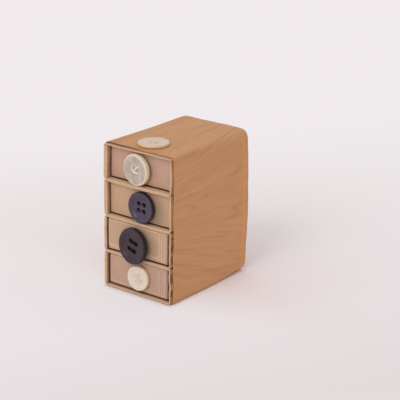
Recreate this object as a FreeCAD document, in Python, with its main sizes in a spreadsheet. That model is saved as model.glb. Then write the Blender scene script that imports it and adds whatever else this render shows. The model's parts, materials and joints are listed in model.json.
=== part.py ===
import FreeCAD, Part

import math
import os
import re

import Sketcher

# Miniature chest of drawers made of four matchboxes.
# Four card sleeves are stacked and wrapped in wood-grain film. Each sleeve holds a card
# tray that slides out at the front, and a button sewn to each tray is its pull.
# Millimetres and degrees, +Z up, front towards -Y, origin in the middle of the underside.
# Drawers are numbered from the top.

SIZES = {
    # Card sleeves: one wall of each is doubled by a glue flap on its inside
    "sleeve_length": 55.4,
    "sleeve_width": 37.6,
    "sleeve_height": 16.8,
    "sleeve_card": 0.6,
    "sleeve_fold_radius": 1.1,
    "flap_shortfall": 2.4,
    "striker_thickness": 0.1,
    "striker_margin": 2.2,
    # Film round the stack, turned in over the back and covered there by a sheet
    "film_thickness": 0.35,
    "film_setback": 1.8,
    "hem_width": 7.5,
    "seam_gap": 0.4,
    "seam_offset": 9.0,
    "back_margin": 1.8,
    "back_corner_radius": 2.0,
    # Card trays: end walls folded double, side walls lapped round the corners as tabs
    "tray_card": 0.5,
    "tray_fold_radius": 0.45,
    "tray_side_gap": 0.35,
    "tray_top_gap": 1.0,
    "tray_floor_gap": 0.1,
    "tray_back_gap": 0.2,
    "tab_length": 8.0,
    # How far each tray lies behind the sleeve fronts
    "recess_1": 2.8,
    "recess_2": 2.2,
    "recess_3": 0.8,
    "recess_4": 1.8,
    # Sewing: a button stands off its tray, or off the sleeve fronts where it overlaps them
    "sew_gap": 0.4,
    "front_gap": 0.12,
    "opening_gap": 0.2,
    "thread_diameter": 0.7,
    "needle_clearance": 0.35,
    "stitch_gap": 0.03,
    "bend_slack": 0.12,
    "knot_diameter": 1.5,
    # Buttons: x and z from the middle of their sleeve, yaw to the left and tilt upwards,
    # pitch of the four holes, which stand in a square, and the turn of that square
    "button_edge_radius": 0.7,
    "button_1_diameter": 14.4,
    "button_1_thickness": 2.6,
    "button_1_rim": 2.6,
    "button_1_dish": 0.6,
    "button_1_hole": 1.5,
    "button_1_pitch": 2.9,
    "button_1_x": -0.5,
    "button_1_z": -0.38,
    "button_1_yaw": 4.0,
    "button_1_tilt": -1.0,
    "button_1_turn": 8.0,
    "button_2_diameter": 14.2,
    "button_2_thickness": 2.1,
    "button_2_rim": 1.3,
    "button_2_dish": 0.75,
    "button_2_hole": 2.0,
    "button_2_pitch": 3.1,
    "button_2_x": 2.2,
    "button_2_z": -0.4,
    "button_2_yaw": 1.0,
    "button_2_tilt": 1.0,
    "button_2_turn": -3.0,
    "button_3_diameter": 16.5,
    "button_3_thickness": 2.6,
    "button_3_rim": 1.5,
    "button_3_dish": 0.75,
    "button_3_hole": 1.9,
    "button_3_pitch": 3.8,
    "button_3_x": -0.35,
    "button_3_z": -1.5,
    "button_3_yaw": 6.0,
    "button_3_tilt": 3.0,
    "button_3_turn": -14.0,
    "button_4_diameter": 11.6,
    "button_4_thickness": 2.0,
    "button_4_rim": 1.6,
    "button_4_dish": 0.35,
    "button_4_hole": 1.3,
    "button_4_pitch": 2.5,
    "button_4_x": 0.7,
    "button_4_z": -0.3,
    "button_4_yaw": -1.5,
    "button_4_tilt": 1.0,
    "button_4_turn": 20.0,
    # Button glued flat on the top
    "top_button_diameter": 14.2,
    "top_button_thickness": 1.3,
    "top_button_rim": 1.5,
    "top_button_dish": 0.25,
    "top_button_hole": 1.4,
    "top_button_pitch": 2.6,
    "top_button_x": 0.4,
    "top_button_inset": 10.8,
    "top_button_turn": 30.0,
    "glue_diameter": 8.0,
    "glue_thickness": 0.2,
}

DRAWERS = (1, 2, 3, 4)
FLAP_SIDES = {1: -1, 2: -1, 3: -1, 4: 1}
HOLE_COUNT = 4

# Sizes that follow from the ones above
FORMULAS = {
    "half_length": "sleeve_length / 2",
    "inner_width": "sleeve_width - 3 * sleeve_card",
    "inner_height": "sleeve_height - 2 * sleeve_card",
    "stack_height": f"{len(DRAWERS)} * sleeve_height",
    "film_inner_width": "sleeve_width + 2 * striker_thickness",
    "film_outer_width": "film_inner_width + 2 * film_thickness",
    "film_top": "stack_height + 2 * film_thickness",
    "deepest_recess": "max(recess_1; recess_2; recess_3; recess_4)",
    "tray_length": "sleeve_length - deepest_recess - tray_back_gap",
    "tray_width": "inner_width - 2 * tray_side_gap",
    "tray_height": "inner_height - tray_top_gap - tray_floor_gap",
    "end_wall": "2 * tray_card",
    "stitch_lift": "thread_diameter / 2 + stitch_gap",
    "needle_hole": "thread_diameter + needle_clearance",
    "bend_radius": "thread_diameter / 2 + bend_slack",
}
for number in DRAWERS:
    level = len(DRAWERS) - number
    button = f"button_{number}"
    FORMULAS[f"sleeve_{number}_base"] = f"film_thickness + {level} * sleeve_height"
    FORMULAS[f"tray_{number}_x"] = f"{-FLAP_SIDES[number]} * sleeve_card / 2"
    FORMULAS[f"tray_{number}_y"] = f"recess_{number} - half_length"
    FORMULAS[f"tray_{number}_z"] = f"sleeve_{number}_base + sleeve_card + tray_floor_gap"
    radius = f"{button}_diameter / 2"
    to_edge = f"(inner_height / 2 - abs({button}_z))"
    FORMULAS[f"{button}_lean"] = f"{radius} * sqrt(sin({button}_yaw)^2 + sin({button}_tilt)^2)"
    FORMULAS[f"{button}_overlap"] = f"sqrt(max(0; ({radius})^2 - {to_edge}^2))"
    FORMULAS[f"{button}_edge_lean"] = f"{button}_overlap * abs(sin({button}_yaw))"
    in_front = f"recess_{number} + front_gap + {button}_edge_lean"
    FORMULAS[f"{button}_in_front"] = f"{radius} + opening_gap < {to_edge} ? 0 : {in_front}"
    FORMULAS[f"{button}_standoff"] = f"max(sew_gap + {button}_lean; {button}_in_front)"
    FORMULAS[f"{button}_y"] = f"tray_{number}_y - {button}_standoff"
    FORMULAS[f"{button}_level"] = f"sleeve_{number}_base + sleeve_height / 2 + {button}_z"

doc = FreeCAD.newDocument("matchbox_chest")
sheet = doc.addObject("Spreadsheet::Sheet", "Sizes")


def fill_sheet():
    """Put every size and formula in the sheet, each under its own alias."""
    cells = {name: str(number) for name, number in SIZES.items()}
    cells.update({name: f"={formula}" for name, formula in FORMULAS.items()})
    for row, (name, content) in enumerate(cells.items(), start=1):
        sheet.set(f"A{row}", name)
        sheet.set(f"B{row}", content)
        sheet.setAlias(f"B{row}", name)
    doc.recompute()


def size(formula):
    """Value of a formula written with the sheet's aliases."""
    return float(sheet.evalExpression(formula))


def bind(item, setting, formula):
    """Tie a property to the sheet by a formula written with the sheet's aliases."""
    item.setExpression(setting, re.sub(r"\b[a-z]\w+\b(?!\()", r"Sizes.\g<0>", formula))


def place(item, x="0", y="0", z="0"):
    """Tie an object's position to the sheet."""
    for axis, formula in zip("xyz", (x, y, z)):
        bind(item, f"Placement.Base.{axis}", formula)


def new_body(name):
    """Empty body that is a sub-part of its own."""
    body = doc.addObject("PartDesign::Body", name)
    body.Label = name
    return body


def new_sketch(body, role, name, lift="0"):
    """Empty sketch on one of the body's origin planes, lifted off it along its normal."""
    sketch = body.newObject("Sketcher::SketchObject", name)
    plane = next(item for item in body.Origin.OriginFeatures if item.Role == role)
    sketch.AttachmentSupport = [(plane, "")]
    sketch.MapMode = "FlatFace"
    bind(sketch, "AttachmentOffset.Base.z", lift)
    return sketch


def dimension(sketch, kind, where, formula):
    """Dimension of a sketch, tied to the sheet."""
    index = sketch.addConstraint(Sketcher.Constraint(kind, *where, size(formula)))
    bind(sketch, f"Constraints[{index}]", formula)


def outline(sketch, corners):
    """Closed outline of straight lines, each corner a pair of formulas."""
    points = [FreeCAD.Vector(size(x), size(y), 0) for x, y in corners]
    first = sketch.GeometryCount
    for start, end in zip(points, points[1:] + points[:1]):
        sketch.addGeometry(Part.LineSegment(start, end), False)
    for index, (x, y) in enumerate(corners):
        line = first + index
        following = first + (index + 1) % len(corners)
        sketch.addConstraint(Sketcher.Constraint("Coincident", line, 2, following, 1))
        dimension(sketch, "DistanceX", (-1, 1, line, 1), x)
        dimension(sketch, "DistanceY", (-1, 1, line, 1), y)


def rectangle(sketch, left, right, bottom, top):
    """Closed rectangle between four formulas."""
    outline(sketch, [(left, bottom), (right, bottom), (right, top), (left, top)])


def circle(sketch, x, y, diameter):
    """Circle about a centre given by two formulas."""
    centre = FreeCAD.Vector(size(x), size(y), 0)
    shape = Part.Circle(centre, FreeCAD.Vector(0, 0, 1), size(diameter) / 2)
    item = sketch.addGeometry(shape, False)
    dimension(sketch, "DistanceX", (-1, 1, item, 3), x)
    dimension(sketch, "DistanceY", (-1, 1, item, 3), y)
    dimension(sketch, "Diameter", (item,), diameter)


def pad(body, sketch, name, length, side="One side", back_length=None, backwards=False):
    """Pad of a sketch, to one side, both sides or evenly about its plane."""
    feature = body.newObject("PartDesign::Pad", name)
    feature.Profile = sketch
    feature.SideType = side
    feature.Reversed = backwards
    bind(feature, "Length", length)
    if back_length:
        bind(feature, "Length2", back_length)
    return feature


def pocket(body, sketch, name, depth, backwards=False):
    """Pocket of a sketch that has to take material away."""
    doc.recompute()
    volume_before = body.Shape.Volume
    feature = body.newObject("PartDesign::Pocket", name)
    feature.Profile = sketch
    feature.Reversed = backwards
    bind(feature, "Length", depth)
    doc.recompute()
    if body.Shape.Volume >= volume_before:
        raise RuntimeError(f"{name} of {body.Label} cuts nothing")
    return feature


def fillet(body, name, radius, wanted):
    """Rounded edges: those of the body so far whose middles lie where the test says."""
    doc.recompute()
    base = body.Tip
    picked = []
    for index, edge in enumerate(base.Shape.Edges, start=1):
        middle = edge.valueAt((edge.FirstParameter + edge.LastParameter) / 2)
        if wanted(middle):
            picked.append(f"Edge{index}")
    feature = body.newObject("PartDesign::Fillet", name)
    feature.Base = (base, picked)
    bind(feature, "Radius", radius)
    return feature


def same(first, second):
    """True where two lengths agree to a thousandth of a millimetre."""
    return abs(first - second) < 1e-3


def at_corner(point, half_width, low, high):
    """True for a point on one of the four lengthwise edges of a box."""
    at_side = same(abs(point.x), half_width)
    at_end = same(point.z, low) or same(point.z, high)
    return at_side and at_end


def build_sleeve(number):
    """Card sleeve, open at both ends, with its glue flap inside one wall."""
    side = FLAP_SIDES[number]
    body = new_body(f"sleeve_{number}")
    section = new_sketch(body, "XZ_Plane", f"sleeve_{number}_section")
    rectangle(section, "-sleeve_width / 2", "sleeve_width / 2", "0", "sleeve_height")
    plain_wall = f"{-side} * (sleeve_width / 2 - sleeve_card)"
    lapped_wall = f"{side} * (sleeve_width / 2 - sleeve_card)"
    flap_face = f"{side} * (sleeve_width / 2 - 2 * sleeve_card)"
    ceiling = "sleeve_height - sleeve_card"
    flap_top = f"{ceiling} - flap_shortfall"
    outline(section, [
        (plain_wall, "sleeve_card"),
        (flap_face, "sleeve_card"),
        (flap_face, flap_top),
        (lapped_wall, flap_top),
        (lapped_wall, ceiling),
        (plain_wall, ceiling),
    ])
    pad(body, section, f"sleeve_{number}_tube", "sleeve_length", "Symmetric")
    half_width = size("sleeve_width") / 2
    height = size("sleeve_height")
    card = size("sleeve_card")

    def on_inner_fold(point):
        on_wall = at_corner(point, half_width - card, card, height - card)
        on_flap = at_corner(point, half_width - 2 * card, card, height - card)
        return on_wall or on_flap

    fillet(body, f"sleeve_{number}_folds", "sleeve_fold_radius",
           lambda point: at_corner(point, half_width, 0, height))
    fillet(body, f"sleeve_{number}_inner_folds", "max(sleeve_fold_radius - sleeve_card; sleeve_card / 4)",
           on_inner_fold)
    place(body, z=f"sleeve_{number}_base")
    return body


def build_striker_strips(number):
    """Thin striking strips on both outer sides of a sleeve."""
    strips = []
    inner_face = "sleeve_width / 2"
    outer_edge = "-sleeve_width / 2 - striker_thickness"
    for side, left in (("left", outer_edge), ("right", inner_face)):
        strip = doc.addObject("Part::Box", f"striker_{side}_{number}")
        bind(strip, "Length", "striker_thickness")
        bind(strip, "Width", "sleeve_length")
        bind(strip, "Height", "sleeve_height - 2 * striker_margin")
        place(strip, left, "-half_length", f"sleeve_{number}_base + striker_margin")
        strips.append(strip)
    group = doc.addObject("Part::Compound", f"striker_strips_{number}")
    group.Links = strips
    group.Label = f"striker_strips_{number}"
    return group


def build_wrapper():
    """Film tube round the stack, with hems over the back and a butt seam underneath."""
    body = new_body("wrapper")
    outer = ("-film_outer_width / 2", "film_outer_width / 2", "0", "film_top")
    stack_top = "film_thickness + stack_height"
    tube = new_sketch(body, "XZ_Plane", "film_section")
    rectangle(tube, *outer)
    rectangle(tube, "-film_inner_width / 2", "film_inner_width / 2", "film_thickness", stack_top)
    pad(body, tube, "film_tube", "half_length - film_setback", "Two sides", "half_length")
    hem = new_sketch(body, "XZ_Plane", "hem_outline", "-half_length")
    window_edge = "film_inner_width / 2 - hem_width"
    rectangle(hem, *outer)
    rectangle(hem, f"-({window_edge})", window_edge,
              "film_thickness + hem_width", f"{stack_top} - hem_width")
    pad(body, hem, "hems", "film_thickness", backwards=True)
    outer_half = size("film_outer_width") / 2
    inner_half = size("film_inner_width") / 2
    film = size("film_thickness")
    top = size("film_top")
    back = size("half_length") + film
    fillet(body, "outer_folds", "sleeve_fold_radius + film_thickness",
           lambda point: at_corner(point, outer_half, 0, top))
    fillet(body, "inner_folds", "sleeve_fold_radius",
           lambda point: at_corner(point, inner_half, film, top - film))
    window_half = size(window_edge)
    window_low = size("film_thickness + hem_width")
    window_high = size(f"{stack_top} - hem_width")

    def on_back_fold(point):
        beside_window = abs(point.x) > window_half + film
        past_window = point.z < window_low - film or point.z > window_high + film
        return same(point.y, back) and (beside_window or past_window)

    fillet(body, "back_folds", "film_thickness", on_back_fold)
    seam = new_sketch(body, "XY_Plane", "seam_outline")
    rectangle(seam, "seam_offset - seam_gap / 2", "seam_offset + seam_gap / 2",
              "film_setback - half_length", "half_length + film_thickness")
    pocket(body, seam, "seam", "film_thickness", backwards=True)
    return body


def build_back_sheet():
    """Sheet of film that covers the hems on the back."""
    body = new_body("back_sheet")
    face = new_sketch(body, "XZ_Plane", "back_outline", "-(half_length + film_thickness)")
    half = "film_outer_width / 2 - back_margin"
    rectangle(face, f"-({half})", half, "back_margin", "film_top - back_margin")
    pad(body, face, "back_film", "film_thickness", backwards=True)
    half_width = size(half)
    low = size("back_margin")
    high = size("film_top - back_margin")
    fillet(body, "back_corners", "back_corner_radius",
           lambda point: at_corner(point, half_width, low, high))
    return body


def needle_points(button):
    """Formulas of the four sewing holes, from the middle of the button."""
    points = []
    for index in range(HOLE_COUNT):
        angle = f"{button}_turn + {360 / HOLE_COUNT} * ({index} + 0.5)"
        radius = f"{button}_pitch / sqrt(2)"
        points.append((f"{radius} * cos({angle})", f"{radius} * sin({angle})"))
    return points


def build_tray(number):
    """Card tray, with tabs inside its corners and needle holes in its front wall."""
    body = new_body(f"tray_{number}")
    half = "tray_width / 2"
    plan = ("-tray_width / 2", half, "0", "tray_length")
    floor = new_sketch(body, "XY_Plane", f"tray_{number}_floor_outline")
    rectangle(floor, *plan)
    pad(body, floor, f"tray_{number}_floor", "tray_card")
    inside = f"({half} - tray_card)"
    tab_end = f"({inside} - tab_length)"
    front = "end_wall"
    back = "tray_length - end_wall"
    tab_front = f"{front} + tray_card"
    tab_back = f"{back} - tray_card"
    walls = new_sketch(body, "XY_Plane", f"tray_{number}_wall_outline")
    rectangle(walls, *plan)
    outline(walls, [
        (f"-{tab_end}", front), (tab_end, front), (tab_end, tab_front), (inside, tab_front),
        (inside, tab_back), (tab_end, tab_back), (tab_end, back), (f"-{tab_end}", back),
        (f"-{tab_end}", tab_back), (f"-{inside}", tab_back),
        (f"-{inside}", tab_front), (f"-{tab_end}", tab_front),
    ])
    pad(body, walls, f"tray_{number}_walls", "tray_height")
    half_width = size(half)
    length = size("tray_length")

    def on_outer_fold(point):
        at_side = same(abs(point.x), half_width)
        at_end = same(point.y, 0) or same(point.y, length)
        return (at_side and at_end) or same(point.z, 0)

    fillet(body, f"tray_{number}_folds", "tray_fold_radius", on_outer_fold)
    button = f"button_{number}"
    holes = new_sketch(body, "XZ_Plane", f"tray_{number}_needle_holes")
    centre_x = f"{button}_x - tray_{number}_x"
    centre_z = f"{button}_level - tray_{number}_z"
    for x, z in needle_points(button):
        circle(holes, f"{centre_x} + {x}", f"{centre_z} + {z}", "needle_hole")
    pocket(body, holes, f"tray_{number}_needle_pocket", "end_wall")
    place(body, f"tray_{number}_x", f"tray_{number}_y", f"tray_{number}_z")
    return body


def build_button(name):
    """Round button with a raised rim and a dished middle with four sewing holes."""
    body = new_body(name)
    radius = f"{name}_diameter / 2"
    face = f"{name}_thickness - {name}_dish"
    rim_edge = f"{radius} - {name}_rim"
    profile = new_sketch(body, "XZ_Plane", f"{name}_profile")
    outline(profile, [
        ("0", "0"),
        (radius, "0"),
        (radius, f"{name}_thickness"),
        (rim_edge, f"{name}_thickness"),
        (f"{rim_edge} - {name}_dish", face),
        ("0", face),
    ])
    disc = body.newObject("PartDesign::Revolution", f"{name}_disc")
    disc.Profile = profile
    disc.ReferenceAxis = (profile, ["V_Axis"])
    rim_radius = size(radius)
    fillet(body, f"{name}_edge", f"min(button_edge_radius; 0.4 * {name}_thickness; 0.4 * {name}_rim)",
           lambda point: same(math.hypot(point.x, point.y), rim_radius))
    hole = new_sketch(body, "XY_Plane", f"{name}_hole_outline")
    circle(hole, f"{name}_pitch / 2", f"{name}_pitch / 2", f"{name}_hole")
    first_hole = pocket(body, hole, f"{name}_first_hole", f"{name}_thickness", backwards=True)
    holes = body.newObject("PartDesign::PolarPattern", f"{name}_holes")
    holes.Originals = [first_hole]
    holes.Axis = (hole, ["N_Axis"])
    holes.Angle = 360
    holes.Occurrences = HOLE_COUNT
    body.Tip = holes
    return body


def build_drawer_button(number):
    """Button sewn to the front of a tray, leaning as the thread lets it."""
    name = f"button_{number}"
    body = build_button(name)
    swing = FreeCAD.Rotation(FreeCAD.Vector(0, 0, 1), -size(f"{name}_yaw"))
    stand_up = FreeCAD.Rotation(FreeCAD.Vector(1, 0, 0), 90 - size(f"{name}_tilt"))
    turn = FreeCAD.Rotation(FreeCAD.Vector(0, 0, 1), size(f"{name}_turn"))
    body.Placement = FreeCAD.Placement(FreeCAD.Vector(), swing * stand_up * turn)
    place(body, f"{name}_x", f"{name}_y", f"{name}_level")
    return body


def rounded_path(points, radius):
    """Wire of straight runs through the points, joined by arcs of one radius."""
    edges = []
    start = points[0]
    for before, corner, after in zip(points, points[1:], points[2:]):
        arriving = (corner - before).normalize()
        leaving = (after - corner).normalize()
        cut = radius * math.tan(arriving.getAngle(leaving) / 2)
        bend_start = corner - arriving * cut
        bend_end = corner + leaving * cut
        inward = (leaving - arriving).normalize()
        centre_distance = math.hypot(radius, cut)
        bend_middle = corner + inward * (centre_distance - radius)
        edges.append(Part.LineSegment(start, bend_start).toShape())
        edges.append(Part.Arc(bend_start, bend_middle, bend_end).toShape())
        start = bend_end
    edges.append(Part.LineSegment(start, points[-1]).toShape())
    return Part.Wire(edges)


def build_thread(number, button_body):
    """Sewing thread of a drawer's button: two stitches on its face, a knot in the tray."""
    name = f"button_{number}"
    seat = [f"tray_{number}_{axis}" for axis in "xyz"]
    tray_place = FreeCAD.Vector(*[size(formula) for formula in seat])
    lift = size("stitch_lift")
    fronts = []
    backs = []
    turned_back = FreeCAD.Rotation(FreeCAD.Vector(0, 0, 1), -size(f"{name}_turn"))
    for x, z in needle_points(name):
        on_button = turned_back.multVec(FreeCAD.Vector(size(x), size(z), 0))
        on_button.z = size(f"{name}_thickness - {name}_dish") + lift
        fronts.append(button_body.Placement.multVec(on_button) - tray_place)
        backs.append(FreeCAD.Vector(size(f"{name}_x - {seat[0]} + {x}"), size("end_wall") + lift,
                                    size(f"{name}_level - {seat[2]} + {z}")))
    knot_middle = (backs[0] + backs[3]) * 0.5
    radius = size("knot_diameter") / 2
    towards_first = (backs[0] - knot_middle).normalize() * (size("thread_diameter") / 4)
    path = rounded_path([
        knot_middle + towards_first,
        backs[0], fronts[0], fronts[1], backs[1],
        backs[2], fronts[2], fronts[3], backs[3],
        knot_middle - towards_first,
    ], size("bend_radius"))
    section = Part.Circle(knot_middle + towards_first, towards_first, size("thread_diameter") / 2)
    strand = path.makePipeShell([Part.Wire(section.toShape())], True, False)
    knot_centre = knot_middle + FreeCAD.Vector(0, radius + size("stitch_gap") - lift, 0)
    knot = Part.makeSphere(radius, knot_centre)
    thread = doc.addObject("Part::Feature", f"thread_{number}")
    thread.Label = f"thread_{number}"
    thread.Shape = strand.fuse(knot)
    place(thread, *seat)
    expected = math.pi / 4 * size("thread_diameter") ** 2 * path.Length
    print(f"thread_{number}: {path.Length:.1f} mm, {strand.Volume:.2f} of {expected:.2f} mm3")
    return thread


def build_top_button():
    """Thin button glued flat on the top, with its spot of glue."""
    body = build_button("top_button")
    turn = FreeCAD.Rotation(FreeCAD.Vector(0, 0, 1), size("top_button_turn"))
    body.Placement = FreeCAD.Placement(FreeCAD.Vector(), turn)
    middle_y = "top_button_inset - half_length"
    place(body, "top_button_x", middle_y, "film_top + glue_thickness")
    glue = doc.addObject("Part::Cylinder", "top_button_glue")
    glue.Label = "top_button_glue"
    bind(glue, "Radius", "glue_diameter / 2")
    bind(glue, "Height", "glue_thickness")
    place(glue, "top_button_x", middle_y, "film_top")
    return [body, glue]


def build_all():
    """Every sub-part, case first and then the drawers."""
    subparts = [build_wrapper(), build_back_sheet()]
    for number in DRAWERS:
        subparts.append(build_sleeve(number))
        subparts.append(build_striker_strips(number))
    subparts += build_top_button()
    for number in DRAWERS:
        subparts.append(build_tray(number))
        button_body = build_drawer_button(number)
        subparts.append(button_body)
        doc.recompute()
        subparts.append(build_thread(number, button_body))
    doc.recompute()
    return subparts


def check(subparts):
    """Stop if any object of the document failed or any sub-part has no valid shape."""
    for item in doc.Objects:
        if "Invalid" in item.State or "Error" in item.State:
            raise RuntimeError(f"{item.Label} failed: {item.State}")
    for item in subparts:
        if item.Shape.isNull() or not item.Shape.isValid():
            raise RuntimeError(f"{item.Label} has no valid shape")


fill_sheet()
finished = build_all()
check(finished)
os.makedirs("parts", exist_ok=True)
for subpart in finished:
    subpart.Shape.exportStep(f"parts/{subpart.Label}.step")
    solids = len(subpart.Shape.Solids)
    print(f"{subpart.Label}: {solids} solid(s), {subpart.Shape.Volume:.1f} mm3")
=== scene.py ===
# %% [markdown]
# # A chest of drawers made of four matchboxes
# The real chest stands about as tall as a thumb: four matchboxes, stacked and wrapped in
# film printed like wood, with sewing buttons as drawer pulls. The measured model comes
# first. Every piece below is shaped in millimetres over one part of it, and then follows
# that part when a drawer slides.

import json
import math
from collections import namedtuple

import bmesh
import bpy
import numpy as np
from mathutils import Matrix, Vector


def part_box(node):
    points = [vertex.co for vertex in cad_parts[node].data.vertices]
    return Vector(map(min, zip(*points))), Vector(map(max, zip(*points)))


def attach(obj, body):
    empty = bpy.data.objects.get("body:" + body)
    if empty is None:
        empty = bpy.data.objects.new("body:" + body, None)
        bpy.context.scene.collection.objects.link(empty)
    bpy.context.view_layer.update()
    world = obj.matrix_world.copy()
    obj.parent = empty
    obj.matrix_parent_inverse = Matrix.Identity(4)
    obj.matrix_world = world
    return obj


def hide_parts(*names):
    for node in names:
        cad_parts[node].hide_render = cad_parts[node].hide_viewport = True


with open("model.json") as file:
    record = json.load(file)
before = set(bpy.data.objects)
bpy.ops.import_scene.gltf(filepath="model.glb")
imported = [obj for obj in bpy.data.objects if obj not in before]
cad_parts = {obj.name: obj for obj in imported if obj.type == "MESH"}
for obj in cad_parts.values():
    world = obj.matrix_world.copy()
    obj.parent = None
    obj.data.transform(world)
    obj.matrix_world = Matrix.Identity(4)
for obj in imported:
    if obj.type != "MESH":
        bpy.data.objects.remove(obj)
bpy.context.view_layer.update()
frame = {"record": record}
MM = 0.001
DRAWERS = (1, 2, 3, 4)
record = frame["record"]
BODY_OF = {node: body for body, nodes in record["behaviour"]["bodies"].items() for node in nodes}


def measured(node):
    """Lowest and highest corner of a part of the measured model, in millimetres."""
    low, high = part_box(node)
    return np.array(low) / MM, np.array(high) / MM


film_low, film_high = measured("wrapper")
sleeve_low, sleeve_high = measured("sleeve_4")
print("film", np.round(film_high - film_low, 2), "sleeve", np.round(sleeve_high - sleeve_low, 2))

# %% [markdown]
# ## Camera
# A long lens a good way off keeps the edges of the chest nearly parallel, as in a product
# photograph. The camera is set by angles round the chest instead of by a position, because
# angles can be read off a picture: how far round, how far above, and how much it tips.

# %% Camera
AZIMUTH, ELEVATION, ROLL = math.radians(38.574), math.radians(18.978), math.radians(0.456)
CAMERA_DISTANCE = 679.66
AIM = Vector((0, 0, 34.0))
AIM_RIGHT, AIM_UP = 10.406, 3.606
LENS_LENGTH, SENSOR_WIDTH = 135.2, 36.0


def placed(name, data):
    """New object in the scene."""
    made = bpy.data.objects.new(name, data)
    bpy.context.scene.collection.objects.link(made)
    return made


towards = Vector((math.sin(AZIMUTH) * math.cos(ELEVATION),
                  -math.cos(AZIMUTH) * math.cos(ELEVATION), math.sin(ELEVATION)))
level_right = Vector((math.cos(AZIMUTH), math.sin(AZIMUTH), 0))
level_up = towards.cross(level_right)
right = level_right * math.cos(ROLL) + level_up * math.sin(ROLL)
up = towards.cross(right)
camera = placed("camera", bpy.data.cameras.new("camera"))
camera.data.lens = LENS_LENGTH
camera.data.sensor_width = SENSOR_WIDTH
camera.matrix_world = Matrix((right, up, towards)).transposed().to_4x4()
camera.location = (AIM + right * AIM_RIGHT + up * AIM_UP + towards * CAMERA_DISTANCE) * MM
bpy.context.scene.camera = camera
print("camera at", np.round(camera.location, 3))

# %% [markdown]
# ## How the chest has settled
# Nothing made of card and film by hand stays square. The open front has spread a little,
# the back is drawn in by the film and stands a little higher, the top leans to the right,
# and the two back corners on the right are crushed. Each piece could be bent on its own,
# but one function holds all of it, and every piece of card goes through that function, so
# that pieces that touch go on touching. The spread narrows towards the back, so a tray
# still comes out freely.

# %% Settling
FRONT_SPREAD = 0.0406
LEAN = 0.45
CRUSH_TOP, CRUSH_FOOT = 4.6, 4.4
WALL_BOW, LAYER_BOW = 0.14, 0.12
BACK_RISE = 0.6
CREASE_AT, BACK_DRAW = 4.2, 0.3
WAVES, WAVES_HEIGHT = ((1.0, 0.31, 1.0), (0.6, 0.83, 2.1), (0.35, 1.9, 3.7)), 1.95
film_half = film_high[0]
film_middle = (film_low[1] + film_high[1]) / 2
film_length = film_high[1] - film_low[1]
film_top = film_high[2]


def ease(share):
    """Soft step from 0 to 1."""
    share = np.clip(share, 0, 1)
    return share * share * (3 - 2 * share)


def uneven(along, seed):
    """Irregular wave between about -1 and 1 along a length in millimetres."""
    waves = sum(height * np.sin(rate * along + shift * seed) for height, rate, shift in WAVES)
    return waves / WAVES_HEIGHT


def settle(points):
    """Points of the square model, moved to where the handmade chest has settled."""
    x, y, z = np.array(points, float).T
    crushed = ease(y / film_high[1])
    for radius, edge, away in ((CRUSH_TOP, film_top, 1), (CRUSH_FOOT, film_low[2], -1)):
        across = np.clip((x - film_half + radius) / radius, 0, 1)
        along = np.clip(1 - away * (edge - z) / radius, 0, 1)
        x = x - crushed * radius * across * (1 - np.sqrt(1 - along**2 / 2))
        z = z - away * crushed * radius * along * (1 - np.sqrt(1 - across**2 / 2))
    spread_out = 1 + FRONT_SPREAD * (film_middle - y) / film_length
    spread_out -= BACK_DRAW / film_half * ease(1 - (film_high[1] - y) / CREASE_AT)
    bowed = WALL_BOW * (x / film_half * uneven(0.8 * z, 0.9) + 0.6 * uneven(0.5 * z, 3.1))
    lifted = LAYER_BOW * uneven(0.7 * x + 0.2 * z, 2.3) * ease(z / 10)
    lifted += BACK_RISE * ease(y / film_high[1]) * z / film_top
    return np.stack([x * spread_out + bowed + LEAN * (z / film_top - 0.5), y, z + lifted], axis=1)


corner = settle([[film_half, film_high[1], film_top]])[0]
print("back corner moves by", np.round(corner - [film_half, film_high[1], film_top], 2))

# %% [markdown]
# ## Small tools for building
# Most pieces here are skins stretched over rings of points: a ring is drawn once, moved
# and shrunk, and each ring is joined to the next by four-sided faces. Boxes cut with
# booleans would be quicker to write, but rings give clean meshes that bend well.


# %% Rings and skins
def circle(count):
    """Round loop of radius 1."""
    around = np.linspace(0, 2 * np.pi, count, endpoint=False)
    return np.stack([np.cos(around), np.sin(around)], axis=1)


def rounded_loop(low, high, radius, run=1, bend=5):
    """Closed loop of a rounded rectangle, anticlockwise from its lower left bend."""
    points = []
    corners = ((low[0], low[1], 180), (high[0], low[1], 270), (high[0], high[1], 0), (low[0], high[1], 90))
    for x, y, start in corners:
        centre_x = x + radius * (1 if x == low[0] else -1)
        centre_y = y + radius * (1 if y == low[1] else -1)
        for angle in np.radians(np.linspace(start, start + 90, bend + 1)):
            points.append((centre_x + radius * math.cos(angle), centre_y + radius * math.sin(angle)))
    loop = []
    for index, point in enumerate(points):
        following = points[(index + 1) % len(points)]
        steps = run if index % (bend + 1) == bend else 1
        for step in range(steps):
            loop.append(np.array(point) + (np.array(following) - point) * step / steps)
    return np.array(loop)


def flat_ring(loop, level, plane="xy"):
    """Ring in space: a loop in plan, or one that stands upright across the chest."""
    level = np.broadcast_to(level, len(loop))
    columns = (loop[:, 0], loop[:, 1], level) if plane == "xy" else (loop[:, 0], level, loop[:, 1])
    return np.stack(columns, axis=1)


def stepped_rings(low, high, steps, radius, least, plane="xy", **fineness):
    """Rings of a rounded rectangle that shrinks and rises by steps of inset and level."""
    rings = []
    for inset, level in steps:
        loop = rounded_loop(low + inset, high - inset, max(radius - inset, least), **fineness)
        rings.append(flat_ring(loop, level, plane))
    return rings


def add_rings(shape, rings, closed=True, caps=False):
    """Skin of four-sided faces over successive rings, with or without end faces."""
    rows = [[shape.verts.new(point) for point in ring] for ring in rings]
    count = len(rows[0])
    for row, after in zip(rows, rows[1:]):
        for index in range(count if closed else count - 1):
            following = (index + 1) % count
            shape.faces.new((row[index], row[following], after[following], after[index]))
    if caps:
        shape.faces.new(rows[0][::-1])
        shape.faces.new(rows[-1])
    return rows


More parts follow.
